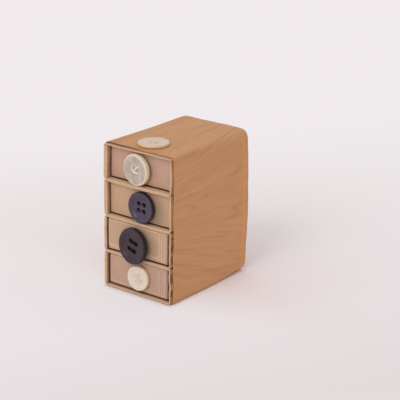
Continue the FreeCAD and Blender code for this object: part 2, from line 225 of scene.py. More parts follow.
def add_slab(shape, low, high, soft, levels=2):
    """Upright piece of card with softened edges, closed at the top and the foot."""
    between = [(0, level) for level in np.linspace(low[2] + soft, high[2] - soft, levels)]
    steps = [(soft, low[2]), *between, (soft, high[2])]
    rings = stepped_rings(np.array(low[:2]), np.array(high[:2]), steps, soft, soft, bend=2)
    return add_rings(shape, rings, caps=True)


print("a bend of card has", len(rounded_loop((0, 0), (1, 1), 0.2)) // 4, "points")

# %% [markdown]
# A shape becomes a mesh, its faces and points are marked with values that a material can
# read, and the last helper makes it a finished piece. Its object stays at the origin with
# its place in its mesh, so that patterns in real millimetres stay where they are.


# %% Meshes and finished pieces
def points_of(mesh):
    """All points of a mesh as rows of x, y and z."""
    flat = np.zeros(len(mesh.vertices) * 3)
    mesh.vertices.foreach_get("co", flat)
    return flat.reshape(-1, 3)


def put_points(mesh, points):
    """Give a mesh new points."""
    mesh.vertices.foreach_set("co", np.asarray(points, float).ravel())
    mesh.update()


def plain_mesh(name, shape):
    """Mesh of a shape as it is."""
    mesh = bpy.data.meshes.new(name)
    shape.to_mesh(mesh)
    shape.free()
    return mesh


def mesh_of(name, shape):
    """Mesh of a shape, doubles merged and faces turned outwards."""
    bmesh.ops.remove_doubles(shape, verts=shape.verts, dist=1e-4)
    bmesh.ops.recalc_face_normals(shape, faces=shape.faces)
    return plain_mesh(name, shape)


def mark(mesh, name, values, domain="FACE", kind="FLOAT"):
    """Mark each face or point of a mesh with a number, or with a vector."""
    key = "value" if kind == "FLOAT" else "vector"
    mesh.attributes.new(name, kind, domain).data.foreach_set(key, np.ravel(values))


def show(mesh, node, material, moved=settle, sharp=40):
    """Finished piece in place of a measured part, riding on the same body."""
    put_points(mesh, moved(points_of(mesh)) * MM)
    mesh.shade_smooth()
    mesh.set_sharp_from_angle(angle=math.radians(sharp))
    mesh.materials.clear()
    mesh.materials.append(material)
    piece = placed(f"{node}_piece", mesh)
    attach(piece, BODY_OF[node])
    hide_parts(node)
    print(piece.name, "has", len(mesh.polygons), "faces")


# %% [markdown]
# ## Shared effects for the finishes
# Card, film, plastic and thread all vary in two ways: soft clouds of colour and a fine
# texture that can be felt. Each effect is a node group, built once and placed in several
# materials with its own values. The groups read Object coordinates, which here are the
# real metres of the chest, so a scale of 1 means one speck per millimetre. Short helpers
# make the nodes, because a material built in a script soon has dozens of them.


# %% Nodes
def colour(red, green, blue):
    """Colour as a screen shows it, from 0 to 255, as the shader wants it."""
    return tuple((v / 255 / 12.92) if v < 10.3 else ((v / 255 + 0.055) / 1.055) ** 2.4
                 for v in (red, green, blue)) + (1.0,)


def node(tree, kind, inputs=(), **settings):
    """New node with its settings, values and incoming links."""
    made = tree.nodes.new(kind)
    for name, value in settings.items():
        setattr(made, name, value)
    for key, value in dict(inputs).items():
        if isinstance(value, bpy.types.NodeSocket):
            tree.links.new(value, made.inputs[key])
        else:
            made.inputs[key].default_value = value
    return made


def maths(tree, way, *values):
    """Result of a sum on numbers."""
    return node(tree, "ShaderNodeMath", dict(enumerate(values)), operation=way).outputs[0]


def vectors(tree, way, first, second=None):
    """Result of a sum on vectors: a vector, or a number where the sum gives one."""
    values = {0: first}
    if second is not None:
        values["Scale" if way == "SCALE" else 1] = second
    made = node(tree, "ShaderNodeVectorMath", values, operation=way)
    return made.outputs["Value" if way in ("DISTANCE", "DOT_PRODUCT", "LENGTH") else "Vector"]


def axes(tree, vector):
    """The three numbers of a vector."""
    return node(tree, "ShaderNodeSeparateXYZ", {0: vector}).outputs


def spread(tree, value, reach, onto=(0.0, 1.0), way="LINEAR"):
    """Value between two numbers, spread between two others."""
    sockets = ("Value", "From Min", "From Max", "To Min", "To Max")
    inputs = dict(zip(sockets, (value, *reach, *onto)))
    return node(tree, "ShaderNodeMapRange", inputs, interpolation_type=way).outputs[0]


def millimetres(tree, stretch=(1, 1, 1), turn=(0, 0, 0)):
    """Object coordinates in millimetres, turned and stretched."""
    place = node(tree, "ShaderNodeTexCoord").outputs["Object"]
    turned = node(tree, "ShaderNodeMapping", {"Vector": place, "Rotation": turn}).outputs[0]
    return vectors(tree, "MULTIPLY", turned, [1 / (MM * factor) for factor in stretch])


def speckle(tree, place, scale, detail=3.0, rough=0.6, bend=0.0):
    """Noise between 0 and 1."""
    inputs = {"Vector": place, "Scale": scale, "Detail": detail, "Roughness": rough, "Distortion": bend}
    return node(tree, "ShaderNodeTexNoise", inputs).outputs[0]


WHITE = colour(255, 255, 255)
print("a middle grey of 128 on a screen is", round(colour(128, 128, 128)[0], 3), "to the shader")


# %% Node groups
def new_group(name, inputs, outputs):
    """Empty node group of plain numbers, with its two end nodes."""
    group = bpy.data.node_groups.new(name, "ShaderNodeTree")
    for label, value in inputs.items():
        group.interface.new_socket(label, in_out="INPUT", socket_type="NodeSocketFloat").default_value = value
    for label in outputs:
        group.interface.new_socket(label, in_out="OUTPUT", socket_type="NodeSocketFloat")
    return group, group.nodes.new("NodeGroupInput").outputs, group.nodes.new("NodeGroupOutput").inputs


def paper_fibre_group():
    """Fibres of card along the chest, and the clouds of a hand-stained surface."""
    group, start, end = new_group("paper_fibre", {"Fineness": 2.0, "Cloud size": 9.0}, ("Fibre", "Cloud"))
    fibre = speckle(group, millimetres(group, (1, 4, 1)), start["Fineness"], 4.0, 0.7)
    cloud = speckle(group, millimetres(group), maths(group, "DIVIDE", 1.0, start["Cloud size"]), 2.0)
    group.links.new(fibre, end["Fibre"])
    group.links.new(cloud, end["Cloud"])
    return group


def moulded_cloud_group():
    """Swirls of pigment in moulded plastic, and the fine scratches on it."""
    sizes = {"Swirl size": 4.0, "Swirl bend": 2.0}
    group, start, end = new_group("moulded_cloud", sizes, ("Swirl", "Scratch"))
    per_swirl = maths(group, "DIVIDE", 1.0, start["Swirl size"])
    swirl = speckle(group, millimetres(group), per_swirl, 3.0, 0.5, start["Swirl bend"])
    scratch = speckle(group, millimetres(group, (0.6, 0.6, 6), (0.4, 0.3, 0.7)), 2.5, 4.0, 0.7)
    group.links.new(swirl, end["Swirl"])
    group.links.new(scratch, end["Scratch"])
    return group


PAPER_FIBRE = paper_fibre_group()
MOULDED_CLOUD = moulded_cloud_group()
print("groups:", PAPER_FIBRE.name, MOULDED_CLOUD.name)

# %% [markdown]
# ## Card and paper finishes
# Three papers show: the tan card of the trays, the sleeves, which are printed brown
# outside and pale where the card is cut, and the striking strips. Each side of a card
# could have a material of its own. Here the faces of the mesh are marked instead, so one
# material colours all sides of a card, and fibres tint the colour and lift the surface.


# %% Tools for finishes
def new_finish(name, **plain):
    """Material with its plain values set on the shader itself."""
    material = bpy.data.materials.new(name)
    material.use_nodes = True
    shader = material.node_tree.nodes["Principled BSDF"]
    for socket, value in plain.items():
        shader.inputs[socket.replace("_", " ")].default_value = value
    return material, material.node_tree, shader


def attribute(tree, name, output="Fac"):
    """Value that the faces or points of a mesh are marked with."""
    return node(tree, "ShaderNodeAttribute", attribute_name=name).outputs[output]


def ramp(tree, value, stops):
    """Colour that changes along a value, through stops of position and colour."""
    made = node(tree, "ShaderNodeValToRGB", {"Fac": value})
    while len(made.color_ramp.elements) < len(stops):
        made.color_ramp.elements.new(0.5)
    for element, (position, shade) in zip(made.color_ramp.elements, stops):
        element.position = position
        element.color = shade
    return made.outputs[0]


def blend(tree, share, first, second, way="MIX"):
    """One colour laid over another by a share."""
    inputs = {0: share, 6: first, 7: second}
    return node(tree, "ShaderNodeMix", inputs, data_type="RGBA", blend_type=way).outputs[2]


def stained(tree, base, stain):
    """Colour darkened by another, as by a wash of ink."""
    return blend(tree, 1.0, base, stain, "MULTIPLY")


def surface(tree, shader, shade, grain, rough, depth=0.0):
    """Colour of a finish, and gloss and relief that follow its grain, the depth in millimetres."""
    tree.links.new(shade, shader.inputs["Base Color"])
    tree.links.new(spread(tree, grain, (0.0, 1.0), rough), shader.inputs["Roughness"])
    if depth:
        relief = node(tree, "ShaderNodeBump", {"Height": grain, "Distance": depth * MM, "Strength": 1.0})
        tree.links.new(relief.outputs[0], shader.inputs["Normal"])


OUTSIDE, WALL, INSIDE, CUT = 0.0, 0.3, 0.6, 1.0
print("marks for the sides of a card:", OUTSIDE, WALL, INSIDE, CUT)

# %% [markdown]
# Shade is painted on the card in two places. Inside a sleeve, painted shade darkens the bare card from the
# cut front to the place where the tray's front stands, and a tray's front carries a painted shadow of its
# button, to one side of it. Both are shares worked out from the real distances in millimetres, so they stay
# put on the card when a drawer slides.

# %% Paper materials
# Painted shade inside a sleeve: where it starts and where it is full, as shares of the tray's recess, on the
# inner walls and on the inner floor.
WALL_DARKENS, FLOOR_DARKENS = (0.05, 1.0), (0.8, 1.25)
# Painted shadow of a button on its tray's front: its reach in millimetres and its colour.
BUTTON_SHADOW_REACH, BUTTON_SHADOW_COLOUR = (6.0, 12.2), colour(216, 219, 226)


def painted_inner_shade(tree, side):
    """Share of painted shade inside a sleeve: none at the cut front, more where the tray's front stands."""
    inwards = maths(tree, "SUBTRACT", axes(tree, millimetres(tree))["Y"], sleeve_low[1])
    reach = maths(tree, "DIVIDE", inwards, attribute(tree, "recess"))
    is_wall = maths(tree, "LESS_THAN", side, (WALL + INSIDE) / 2)
    is_floor = maths(tree, "COMPARE", side, INSIDE, 0.1)
    wall = maths(tree, "MULTIPLY", is_wall, spread(tree, reach, WALL_DARKENS))
    floor = maths(tree, "MULTIPLY", is_floor, spread(tree, reach, FLOOR_DARKENS))
    return maths(tree, "ADD", wall, floor)


def painted_button_shadow(tree, plain):
    """Shade of a tray's front with the painted shadow of its button, round the point that its shadow mark
    gives.
    """
    away = vectors(tree, "DISTANCE", millimetres(tree), attribute(tree, "pull", "Vector"))
    near = spread(tree, away, BUTTON_SHADOW_REACH, (1.0, 0.0), "SMOOTHSTEP")
    share = maths(tree, "MULTIPLY", near, attribute(tree, "handled"))
    return blend(tree, share, plain, stained(tree, plain, BUTTON_SHADOW_COLOUR))


def card_finish(name, shades, rough, fineness, depth, mottle, inner_shade=(255, 255, 255)):
    """Card with its shades: dark and light of the face, inner walls, inner floor, cut edge, with painted
    shade inside a sleeve and a painted button shadow on a tray's front.
    """
    material, tree, shader = new_finish(name, Specular_IOR_Level=0.25)
    dark, light, wall, inside, cut = (colour(*shade) for shade in shades)
    fibre = node(tree, "ShaderNodeGroup", {"Fineness": fineness}, node_tree=PAPER_FIBRE).outputs
    side = attribute(tree, "side")
    cloud = maths(tree, "ADD", fibre["Cloud"], attribute(tree, "tint"))
    face = ramp(tree, cloud, [(0.3, dark), (1.0, light)])
    bare = ramp(tree, side, [(WALL, wall), (INSIDE, inside), (CUT, cut)])
    is_bare = maths(tree, "GREATER_THAN", side, WALL / 2)
    # Painted shade on the bare inside of a sleeve, darker deeper in.
    inner_shaded = blend(tree, painted_inner_shade(tree, side), bare, stained(tree, bare, colour(*inner_shade)))
    # A tray's front gets the painted shadow of its button.
    plain = painted_button_shadow(tree, blend(tree, is_bare, face, inner_shaded))
    streak = ramp(tree, fibre["Fibre"], [(0.3, colour(*mottle)), (0.62, WHITE)])
    surface(tree, shader, stained(tree, plain, streak), fibre["Fibre"], (rough - 0.1, rough + 0.1), depth)
    return material


TRAY_CARD = card_finish(
    "tray_card", ((198, 162, 146), (202, 167, 134), (196, 160, 136), (204, 168, 142), (226, 194, 164)),
    0.62, 1.6, 0.015, (242, 239, 236))
# The sleeve's outside shades are partly its printed brown and partly painted shade, darkened for the shadow
# of the film's front edge; its last colour is the painted shade deep inside.
SLEEVE_CARD = card_finish(
    "sleeve_card", ((160, 114, 84), (184, 138, 100), (214, 174, 140), (216, 182, 150), (214, 180, 148)),
    0.7, 3.6, 0.02, (240, 235, 230), (132, 120, 112))
# The striking paper's shades are partly its own red-brown and partly painted shade, darkened for the shadow
# of the film's front edge.
STRIKER_PAPER = card_finish(
    "striker_paper", ((122, 78, 56), (150, 102, 76), (126, 82, 60), (126, 82, 60), (136, 90, 66)),
    0.85, 3.0, 0.05, (212, 206, 200))
print("papers:", TRAY_CARD.name, SLEEVE_CARD.name, STRIKER_PAPER.name)

# %% [markdown]
# ## Wood-grain film
# The film is smooth and a little shiny, with a faint print of pale wood. Film is a flat
# sheet before it is wrapped, so its print is laid out flat as well: a mark on the mesh
# gives each point its place on the sheet, round the chest and along it. The grain runs
# along the chest and fans out on the right side, as it does in a board cut near a knot.
# A picture of wood would be quicker, but noise drawn out along the grain makes the bands, streaks and pores
# at any scale, and thin year lines follow the levels of a noise, as lines of height do on a map. Two more
# marks carry painted light: a painted highlight in orange along a crease near the back, where its bend
# catches the light, and painted shade that darkens the cut front edge on the left.

# %% Film material
FAN_SLOPE, FAN_REACH = 0.0135, (22.0, 45.0)
GRAIN_WAVE = 3.5
LINE_FIGURE, LINE_COUNT = 0.1, 7.0
# Where the painted shade on the film's cut front edge fades out, across the chest in millimetres.
EDGE_SHADE_FADES = (-8.0, 4.0)


def film_print(tree):
    """Place on the sheet across the grain, which fans out and waves, and along it."""
    sheet = attribute(tree, "print", "Vector")
    axis = axes(tree, sheet)
    fan = spread(tree, maths(tree, "ABSOLUTE", axis["X"]), FAN_REACH, (FAN_SLOPE, 0.0), "SMOOTHSTEP")
    drift = maths(tree, "MULTIPLY", maths(tree, "MULTIPLY", fan, axis["X"]), axis["Y"])
    squeezed = vectors(tree, "MULTIPLY", sheet, (0.35, 1, 1))
    sway = maths(tree, "MULTIPLY", speckle(tree, squeezed, 0.045, 1.0), GRAIN_WAVE)
    return maths(tree, "ADD", maths(tree, "SUBTRACT", axis["X"], drift), sway), axis["Y"]


def film_finish():
    """Printed film: bands, year lines, streaks and pores along the grain, with a painted highlight on its
    crease and painted shade on its cut edge.
    """
    material, tree, shader = new_finish("wood_grain_film", Specular_IOR_Level=0.25)
    across, along = film_print(tree)

    def grain(stretch, scale, detail, rough=0.6):
        drawn_out = maths(tree, "DIVIDE", along, stretch)
        place = node(tree, "ShaderNodeCombineXYZ", {0: across, 1: drawn_out}).outputs[0]
        return speckle(tree, place, scale, detail, rough)

    bands = grain(7, 0.16, 2.0)
    level = maths(tree, "MULTIPLY", grain(12, LINE_FIGURE, 1.0), LINE_COUNT)
    to_line = maths(tree, "PINGPONG", level, 0.5)
    bundle = grain(3, 0.14, 1.0)
    streaks = grain(40, 0.5, 3.0, 0.5)
    pores = grain(26, 2.6, 2.0)
    base = ramp(tree, bands, [(0.3, colour(200, 146, 98)), (0.7, colour(207, 154, 107))])
    lined = ramp(tree, to_line, [(0.02, colour(241, 233, 225)), (0.14, colour(252, 250, 248)), (0.4, WHITE)])
    shown = ramp(tree, bundle, [(0.42, colour(40, 40, 40)), (0.62, WHITE)])
    streak_stops = [(0.26, colour(243, 236, 229)), (0.4, WHITE), (0.62, colour(250, 248, 246))]
    streaked = ramp(tree, streaks, streak_stops)
    pored = ramp(tree, pores, [(0.28, colour(247, 243, 239)), (0.36, WHITE)])
    printed = blend(tree, shown, base, stained(tree, base, lined))
    printed = stained(tree, stained(tree, printed, streaked), pored)
    # Painted highlight: orange along the crease near the back, where the bend catches the light.
    crease_lit = blend(tree, attribute(tree, "crease_highlight"), printed, colour(226, 146, 78))
    # Painted shade: the cut front edge is dark on the left and golden on the right.
    edge_unshaded = spread(tree, axes(tree, millimetres(tree))["X"], EDGE_SHADE_FADES)
    edge = blend(tree, edge_unshaded, colour(104, 66, 42), colour(214, 164, 104))
    surface(tree, shader, blend(tree, attribute(tree, "cut"), crease_lit, edge), streaks, (0.42, 0.58), 0.02)
    return material


FILM = film_finish()
print("film:", FILM.name)

# %% [markdown]
# ## The film round the stack
# The film is one tube that stops short of the sleeve fronts, turns round the back edges
# in a soft fold and ends in a hem on the back, with a butt seam underneath. Cloth
# simulation could wrap it, but skinned rings give the folds where they belong: the same
# rounded section is carried along the chest, then shrinks as it goes round the fold. The
# front edge was cut with scissors, so its ring wanders, and the film lies in faint ripples
# and bows on the right. Solidify then gives it its thickness, inwards.

# %% Film rings
FILM_BEND = 1.45
BACK_FOLD = 1.2
HEM_WIDTH = 7.5
SEAM_AT, SEAM_GAP = 9.0, 0.4
SCISSOR_WANDER = 0.3
GRAIN_CORE = 43.0


def film_loop(inset):
    """Section of the film, from one side of the seam round to the other."""
    low = np.array((film_low[0] + inset, film_low[2] + inset))
    high = np.array((film_high[0] - inset, film_high[2] - inset))
    loop = rounded_loop(low, high, max(FILM_BEND - inset, 0.3), run=40)
    underneath = loop[:, 1] < low[1] + 1e-6
    column = np.argmin(np.where(underneath, abs(loop[:, 0] - SEAM_AT), np.inf))
    loop[column, 0] = SEAM_AT - SEAM_GAP / 2
    loop[column + 1, 0] = SEAM_AT + SEAM_GAP / 2
    return np.roll(loop, -(column + 1), axis=0)


def film_rings():
    """Rings of the film from its front edge to the hem, and each point's place on the sheet."""
    loop = film_loop(0)
    round_about = np.concatenate([[0], np.cumsum(np.linalg.norm(np.diff(loop, axis=0), axis=1))])
    front = film_low[1] + SCISSOR_WANDER * uneven(round_about, 1.7)
    fold_start = film_high[1] - BACK_FOLD
    crease = 1 - (CREASE_AT - BACK_FOLD) / (fold_start - film_low[1])
    steps = np.concatenate([np.linspace(0, crease - 0.04, 25), crease + np.linspace(-0.025, 0.025, 7), [1]])
    rings = [flat_ring(loop, front + (fold_start - front) * step, "xz") for step in steps]
    for angle in np.radians(np.linspace(15, 90, 6)):
        inset = BACK_FOLD * (1 - math.cos(angle))
        rings.append(flat_ring(film_loop(inset), fold_start + BACK_FOLD * math.sin(angle), "xz"))
    rings += [flat_ring(film_loop(inset), film_high[1], "xz") for inset in (3.0, 5.0, HEM_WIDTH)]
    on_right = np.where(loop[:, 0] > film_half - 0.1, abs(loop[:, 1] - GRAIN_CORE), np.inf)
    around = round_about - round_about[np.argmin(on_right)]
    sheet = [np.stack([around, ring[:, 1], 0 * around], axis=1) for ring in rings]
    return rings, np.concatenate(sheet)


tube_rings, tube_sheet = film_rings()
print("film:", len(tube_rings), "rings of", len(tube_rings[0]), "points")

# %% Wrapper
FILM_THICKNESS = 0.35
RIPPLE = 0.08
CREASE_WIDTH = 1.7
BACK_BOW = 1.2


def solid_copy(maker):
    """Plain mesh of an object with its modifiers, and the object removed."""
    bpy.context.view_layer.update()
    evaluated = maker.evaluated_get(bpy.context.evaluated_depsgraph_get())
    mesh = bpy.data.meshes.new_from_object(evaluated)
    bpy.data.objects.remove(maker)
    return mesh


def thickened(mesh, thickness):
    """Mesh of a sheet given a thickness inwards, in millimetres."""
    sheet = placed("sheet", mesh)
    wall = sheet.modifiers.new("wall", "SOLIDIFY")
    wall.thickness = thickness
    wall.offset = -1
    wall.use_even_offset = True
    return solid_copy(sheet)


def film_tube():
    """The film as a sheet without thickness, and the way that each point of it faces."""
    shape = bmesh.new()
    add_rings(shape, tube_rings, closed=False)
    bmesh.ops.recalc_face_normals(shape, faces=shape.faces)
    mesh = plain_mesh("wrapper", shape)
    mark(mesh, "print", tube_sheet, "POINT", "FLOAT_VECTOR")
    outwards = np.array([vertex.normal for vertex in mesh.vertices])
    if np.mean(np.sum(outwards * (points_of(mesh) - (film_low + film_high) / 2), axis=1)) < 0:
        mesh.flip_normals()
        outwards = -outwards
    return mesh, outwards


def build_wrapper():
    """The film with its ripples and its bow, its crease marked for a painted highlight and its cut front edge
    marked.
    """
    mesh, outwards = film_tube()
    points = points_of(mesh)
    x, y, z = points.T
    before_back = film_high[1] - y
    sideways = ease(abs(outwards[:, 0]) * 1.5 - 0.3)
    crease = sideways * (1 - ease(abs(before_back - CREASE_AT) / CREASE_WIDTH))
    crease *= 0.7 + 0.3 * uneven(z, 1.1)
    crease *= ease((film_top - 2 - z) / 3) * ease((z - 3) / 3)
    # The crease also carries a painted highlight.
    mark(mesh, "crease_highlight", crease, "POINT")
    ripple = 0.5 + 0.5 * uneven(0.9 * (z + x) + 0.35 * y, 0.4) * uneven(0.2 * y, 2.0)
    ripple[(before_back < BACK_FOLD) | (outwards[:, 2] < -0.1)] = 0
    moved = points + outwards * (RIPPLE * (ripple + 0.5 * crease))[:, None]
    slack = np.clip(x / film_half, 0, 1) * ease(y / film_high[1])
    moved[:, 0] += BACK_BOW * slack * np.sin(np.pi * np.clip(z / film_top, 0, 1))
    put_points(mesh, moved)
    film = thickened(mesh, FILM_THICKNESS)
    mark(film, "cut", [float(face.normal.y < -0.6 and face.center.y < film_middle) for face in film.polygons])
    return film


show(build_wrapper(), "wrapper", FILM)

# %% [markdown]
# ## The sheet on the back
# A second piece of the same film covers the hems. A plain slab would do for its outline,
# but it is built as rings that shrink towards the middle, so that its edge can be softened
# and its face can lie a little hollow where there is no hem behind it.

# %% Back sheet
BACK_CORNER, LEAST_CORNER = 2.0, 0.3
HOLLOW = 0.12
BACK_PRINT = 90.0


def build_back_sheet():
    """Sheet over the hems, hollow towards its middle."""
    low, high = measured("back_sheet")
    steps = ((4.0, low[1]), (0.05, low[1]), (0.0, low[1] + 0.08), (0.0, high[1] - 0.1), (0.08, high[1]),
             (2.0, high[1]), (6.0, high[1]), (9.0, high[1] - HOLLOW), (13.0, high[1] - HOLLOW))
    shape = bmesh.new()
    rings = stepped_rings(low[[0, 2]], high[[0, 2]], steps, BACK_CORNER, LEAST_CORNER, "xz", run=12)
    add_rings(shape, rings, caps=True)
    mesh = mesh_of("back_sheet", shape)
    points = points_of(mesh)
    sheet = np.stack([points[:, 2] + BACK_PRINT, points[:, 0], 0 * points[:, 0]], axis=1)
    mark(mesh, "print", sheet, "POINT", "FLOAT_VECTOR")
    return mesh


show(build_back_sheet(), "back_sheet", FILM)

# %% [markdown]
# ## Card sleeves, by Geometry Nodes
# A matchbox sleeve follows one rule: a strip of card bent round a rounded rectangle. So a
# small node tree makes it. The section of the strip, as thick as the card and as long as
# the box, is carried along the rectangle with Curve to Mesh. Width, height, length, card
# and fold are named inputs, and the tree serves all four sleeves.

# %% Sleeve tree
NUMBER, WHOLE = "NodeSocketFloat", "NodeSocketInt"


def new_tree(name, **inputs):
    """Empty geometry tree with named inputs, what they give, and the socket at its end."""
    tree = bpy.data.node_groups.new(name, "GeometryNodeTree")
    tree.interface.new_socket("Geometry", in_out="INPUT", socket_type="NodeSocketGeometry")
    for label, kind in inputs.items():
        tree.interface.new_socket(label.replace("_", " "), in_out="INPUT", socket_type=kind)
    tree.interface.new_socket("Geometry", in_out="OUTPUT", socket_type="NodeSocketGeometry")
    return tree, tree.nodes.new("NodeGroupInput").outputs, tree.nodes.new("NodeGroupOutput").inputs[0]


def finish_tree(tree, end, geometry, material):
    """Last nodes of a tree: real faces, and their material."""
    real = node(tree, "GeometryNodeRealizeInstances", {0: geometry})
    coloured = node(tree, "GeometryNodeSetMaterial", {"Geometry": real.outputs[0], "Material": material})
    tree.links.new(coloured.outputs[0], end)
    print("tree:", tree.name, "with", len(tree.nodes), "nodes")


def grown(data, tree, **values):
    """Plain mesh that a tree makes of a mesh or curve, with the tree's inputs set by name."""
    maker = placed("maker", data)
    grower = maker.modifiers.new("grower", "NODES")
    grower.node_group = tree
    for socket in tree.interface.items_tree:
        label = socket.name.replace(" ", "_")
        if socket.in_out == "INPUT" and label in values:
            grower[socket.identifier] = values[label]
    return solid_copy(maker)


def rounded_section(tree, width, height, radius, cuts):
    """Rounded rectangle as a curve, cut up finely enough to be bent later."""
    plain = node(tree, "GeometryNodeCurvePrimitiveQuadrilateral", {"Width": width, "Height": height})
    inputs = {"Curve": plain.outputs[0], "Radius": radius, "Count": 4}
    bent = node(tree, "GeometryNodeFilletCurve", inputs, mode="POLY").outputs[0]
    return node(tree, "GeometryNodeSubdivideCurve", {"Curve": bent, "Cuts": cuts}).outputs[0]


def card_sleeve_tree():
    """Tree that carries the section of a card strip round a rounded rectangle."""
    sizes = dict.fromkeys(("Width", "Height", "Length", "Card", "Fold"), NUMBER)
    tree, start, end = new_tree("card_sleeve", **sizes)

    def less_card(value, share):
        return maths(tree, "SUBTRACT", value, maths(tree, "MULTIPLY", start["Card"], share))

    path = rounded_section(tree, less_card(start["Width"], 1), less_card(start["Height"], 1),
                           less_card(start["Fold"], 0.5), 7)
    soft = maths(tree, "MULTIPLY", start["Card"], 0.15)
    strip = rounded_section(tree, start["Card"], start["Length"], soft, 5)
    tube = node(tree, "GeometryNodeCurveToMesh", {"Curve": path, "Profile Curve": strip}).outputs[0]
    stood = node(tree, "GeometryNodeTransform", {"Geometry": tube, "Rotation": (math.radians(90), 0, 0)})
    finish_tree(tree, end, stood.outputs[0], SLEEVE_CARD)
    return tree


CARD_SLEEVE = card_sleeve_tree()

# %% [markdown]
# ## Four sleeves with their glue flaps
# Each sleeve gets the flap that closes it, a second layer of card inside one wall. On the
# bottom sleeve that layer has come loose at the front, so it stands in a zigzag, the wall
# sways beside it, and a lining covers the other wall. The walls bulge by different
# amounts. The cut fronts are not straight: they wander by a tenth of a millimetre or so,
# and the knife has left a small burr on both sides of the card. All of that could be
# sculpted by hand, but here it is sums on the points, so it comes out the same each time.

# %% Flaps
SLEEVE_CARD_THICKNESS = 0.6
FLAP_SIDES = {1: -1, 2: -1, 3: -1, 4: 1}
LOOSE_PLY = 0.45
FLAP_THICKNESS = {1: 1.0, 2: 1.0, 3: 0.55, 4: LOOSE_PLY}
FLAP_SHORTFALL, FLAP_GAP, FLAP_SOFT = 0.4, 0.03, 0.1
FLAP_FRONT, FLAP_BACK = 0.12, 0.6
LOOSE_SWAY, LOOSE_DEPTH, LOOSE_LENGTH = 0.3, 4.0, 5
LOOSE_SLEEVE, LINING = 4, 0.5


def add_flap(shape, number, low, high):
    """Layer of card inside one wall, loose at the front on the bottom sleeve."""
    card = SLEEVE_CARD_THICKNESS
    side = FLAP_SIDES[number]
    loose = number == LOOSE_SLEEVE
    outer = high[0] - card - ((card - LOOSE_PLY) / 2 if loose else FLAP_GAP)
    inner = outer - FLAP_THICKNESS[number]
    front = low[1] + (LOOSE_DEPTH if loose else FLAP_FRONT)
    foot = (min(side * inner, side * outer), front, low[2] + card + 0.05)
    head = (max(side * inner, side * outer), high[1] - FLAP_BACK, high[2] - card - FLAP_SHORTFALL)
    rows = add_slab(shape, foot, head, FLAP_SOFT, levels=22)
    if loose:
        for point in (point for row in rows for point in row):
            free = ease((foot[1] + LOOSE_LENGTH - point.co.y) / LOOSE_LENGTH)
            point.co.x += side * LOOSE_SWAY * free * uneven(2.6 * point.co.z, 0.6)
        wall = low[0] + card + FLAP_GAP
        lining_foot = (wall, low[1] + FLAP_FRONT, foot[2])
        add_slab(shape, lining_foot, (wall + LINING, head[1], head[2]), FLAP_SOFT, levels=8)


print("flaps", FLAP_THICKNESS, "mm thick")

# %% Sleeves
SLEEVE_FOLD = 1.1
BACK_SHORT = 0.5
SKIN = 0.2
FRONT_DEPTH, CUT_WANDER = 2, 0.12
BURR, BURR_DEPTH = 0.12, 0.9
WALL_BULGES = {1: 0.45, 2: 0.3, 3: -0.05, 4: 0.1}
WALL_SWAY = {1: 0.0, 2: 0.0, 3: 0.1, 4: 0.32}


def mark_card(mesh, low, high):
    """Mark each face of a sleeve as outside, inner wall, inner floor or cut edge."""
    middle, half = (low + high) / 2, (high - low) / 2
    sides = []
    for face in mesh.polygons:
        offset = abs(np.array(face.center) - middle)
        at_skin = offset[0] > half[0] - SKIN or offset[2] > half[2] - SKIN
        inner = WALL if abs(face.normal.x) > 0.7 else INSIDE
        sides.append(CUT if abs(face.normal.y) > 0.6 else OUTSIDE if at_skin else inner)
    mark(mesh, "side", sides)


def wear_front(points, number, low, high):
    """Let the front of a sleeve wander, bulge and sway, with a burr along its cut."""
    card = SLEEVE_CARD_THICKNESS
    along_cut = points[:, 0] + 1.7 * points[:, 2]
    at_front = ease((low[1] + FRONT_DEPTH - points[:, 1]) / FRONT_DEPTH)
    burr = BURR * ease((low[1] + BURR_DEPTH - points[:, 1]) / BURR_DEPTH)
    burr = burr * (0.8 + 0.4 * uneven(4 * along_cut, number))
    points[:, 1] += CUT_WANDER * at_front * uneven(along_cut, number)
    from_side = high[0] - abs(points[:, 0])
    from_top = high[2] - points[:, 2]
    in_side = (from_side < card + 0.02) & (from_top > 2 * card) & (points[:, 2] > low[2] + 2 * card)
    points[:, 0] += in_side * burr * np.sign(points[:, 0]) * np.sign(card / 2 - from_side)
    points[:, 2] -= burr * ((from_top > card / 2) & (from_top < card + 0.02) & (from_side > 2 * card))
    at_wall = (points[:, 0] > high[0] - 1.2 * card) * at_front
    between_folds = np.sin(np.pi * (points[:, 2] - low[2]) / (high[2] - low[2])) ** 2
    points[:, 0] += WALL_BULGES[number] * at_wall * between_folds
    points[:, 0] += WALL_SWAY[number] * at_wall * between_folds * uneven(2.6 * points[:, 2], 0.6)


def build_sleeve(number):
    """Card sleeve with its flap and its worn front."""
    low, high = measured(f"sleeve_{number}")
    width, length, height = high - low
    tube = grown(bpy.data.meshes.new("strip"), CARD_SLEEVE, Width=width, Height=height,
                 Length=length - BACK_SHORT, Card=SLEEVE_CARD_THICKNESS, Fold=SLEEVE_FOLD)
    put_points(tube, points_of(tube) + ((low + high) / 2 - (0, BACK_SHORT / 2, 0)))
    shape = bmesh.new()
    shape.from_mesh(tube)
    add_flap(shape, number, low, high)
    mesh = mesh_of(f"sleeve_{number}", shape)
    mark_card(mesh, low, high)
    recess = measured(f"tray_{number}")[0][1] - low[1]
    mark(mesh, "recess", [recess] * len(mesh.polygons))
    points = points_of(mesh)
    wear_front(points, number, low, high)
    put_points(mesh, points)
    return mesh


for number in DRAWERS:
    show(build_sleeve(number), f"sleeve_{number}", SLEEVE_CARD)

# %% [markdown]
# ## Striking strips
# Both sides of a matchbox carry a strip for striking matches: paper printed with rows of
# rough dots. Only its front end shows beside the film. The dots repeat, so a node tree
# sets one low dome on every point of a grid.

# %% Striker strips
STRIP_THICKNESS, STRIP_SKIN = 0.1, 0.02
STRIP_FRONT, STRIP_BACK = 0.1, 0.8
DOT_PITCH, DOT_SIZE, DOT_RISE = 0.62, 0.4, 0.05
DOT_COLUMNS, DOT_MARGIN, DOTS_FROM = 3, 0.6, 0.4


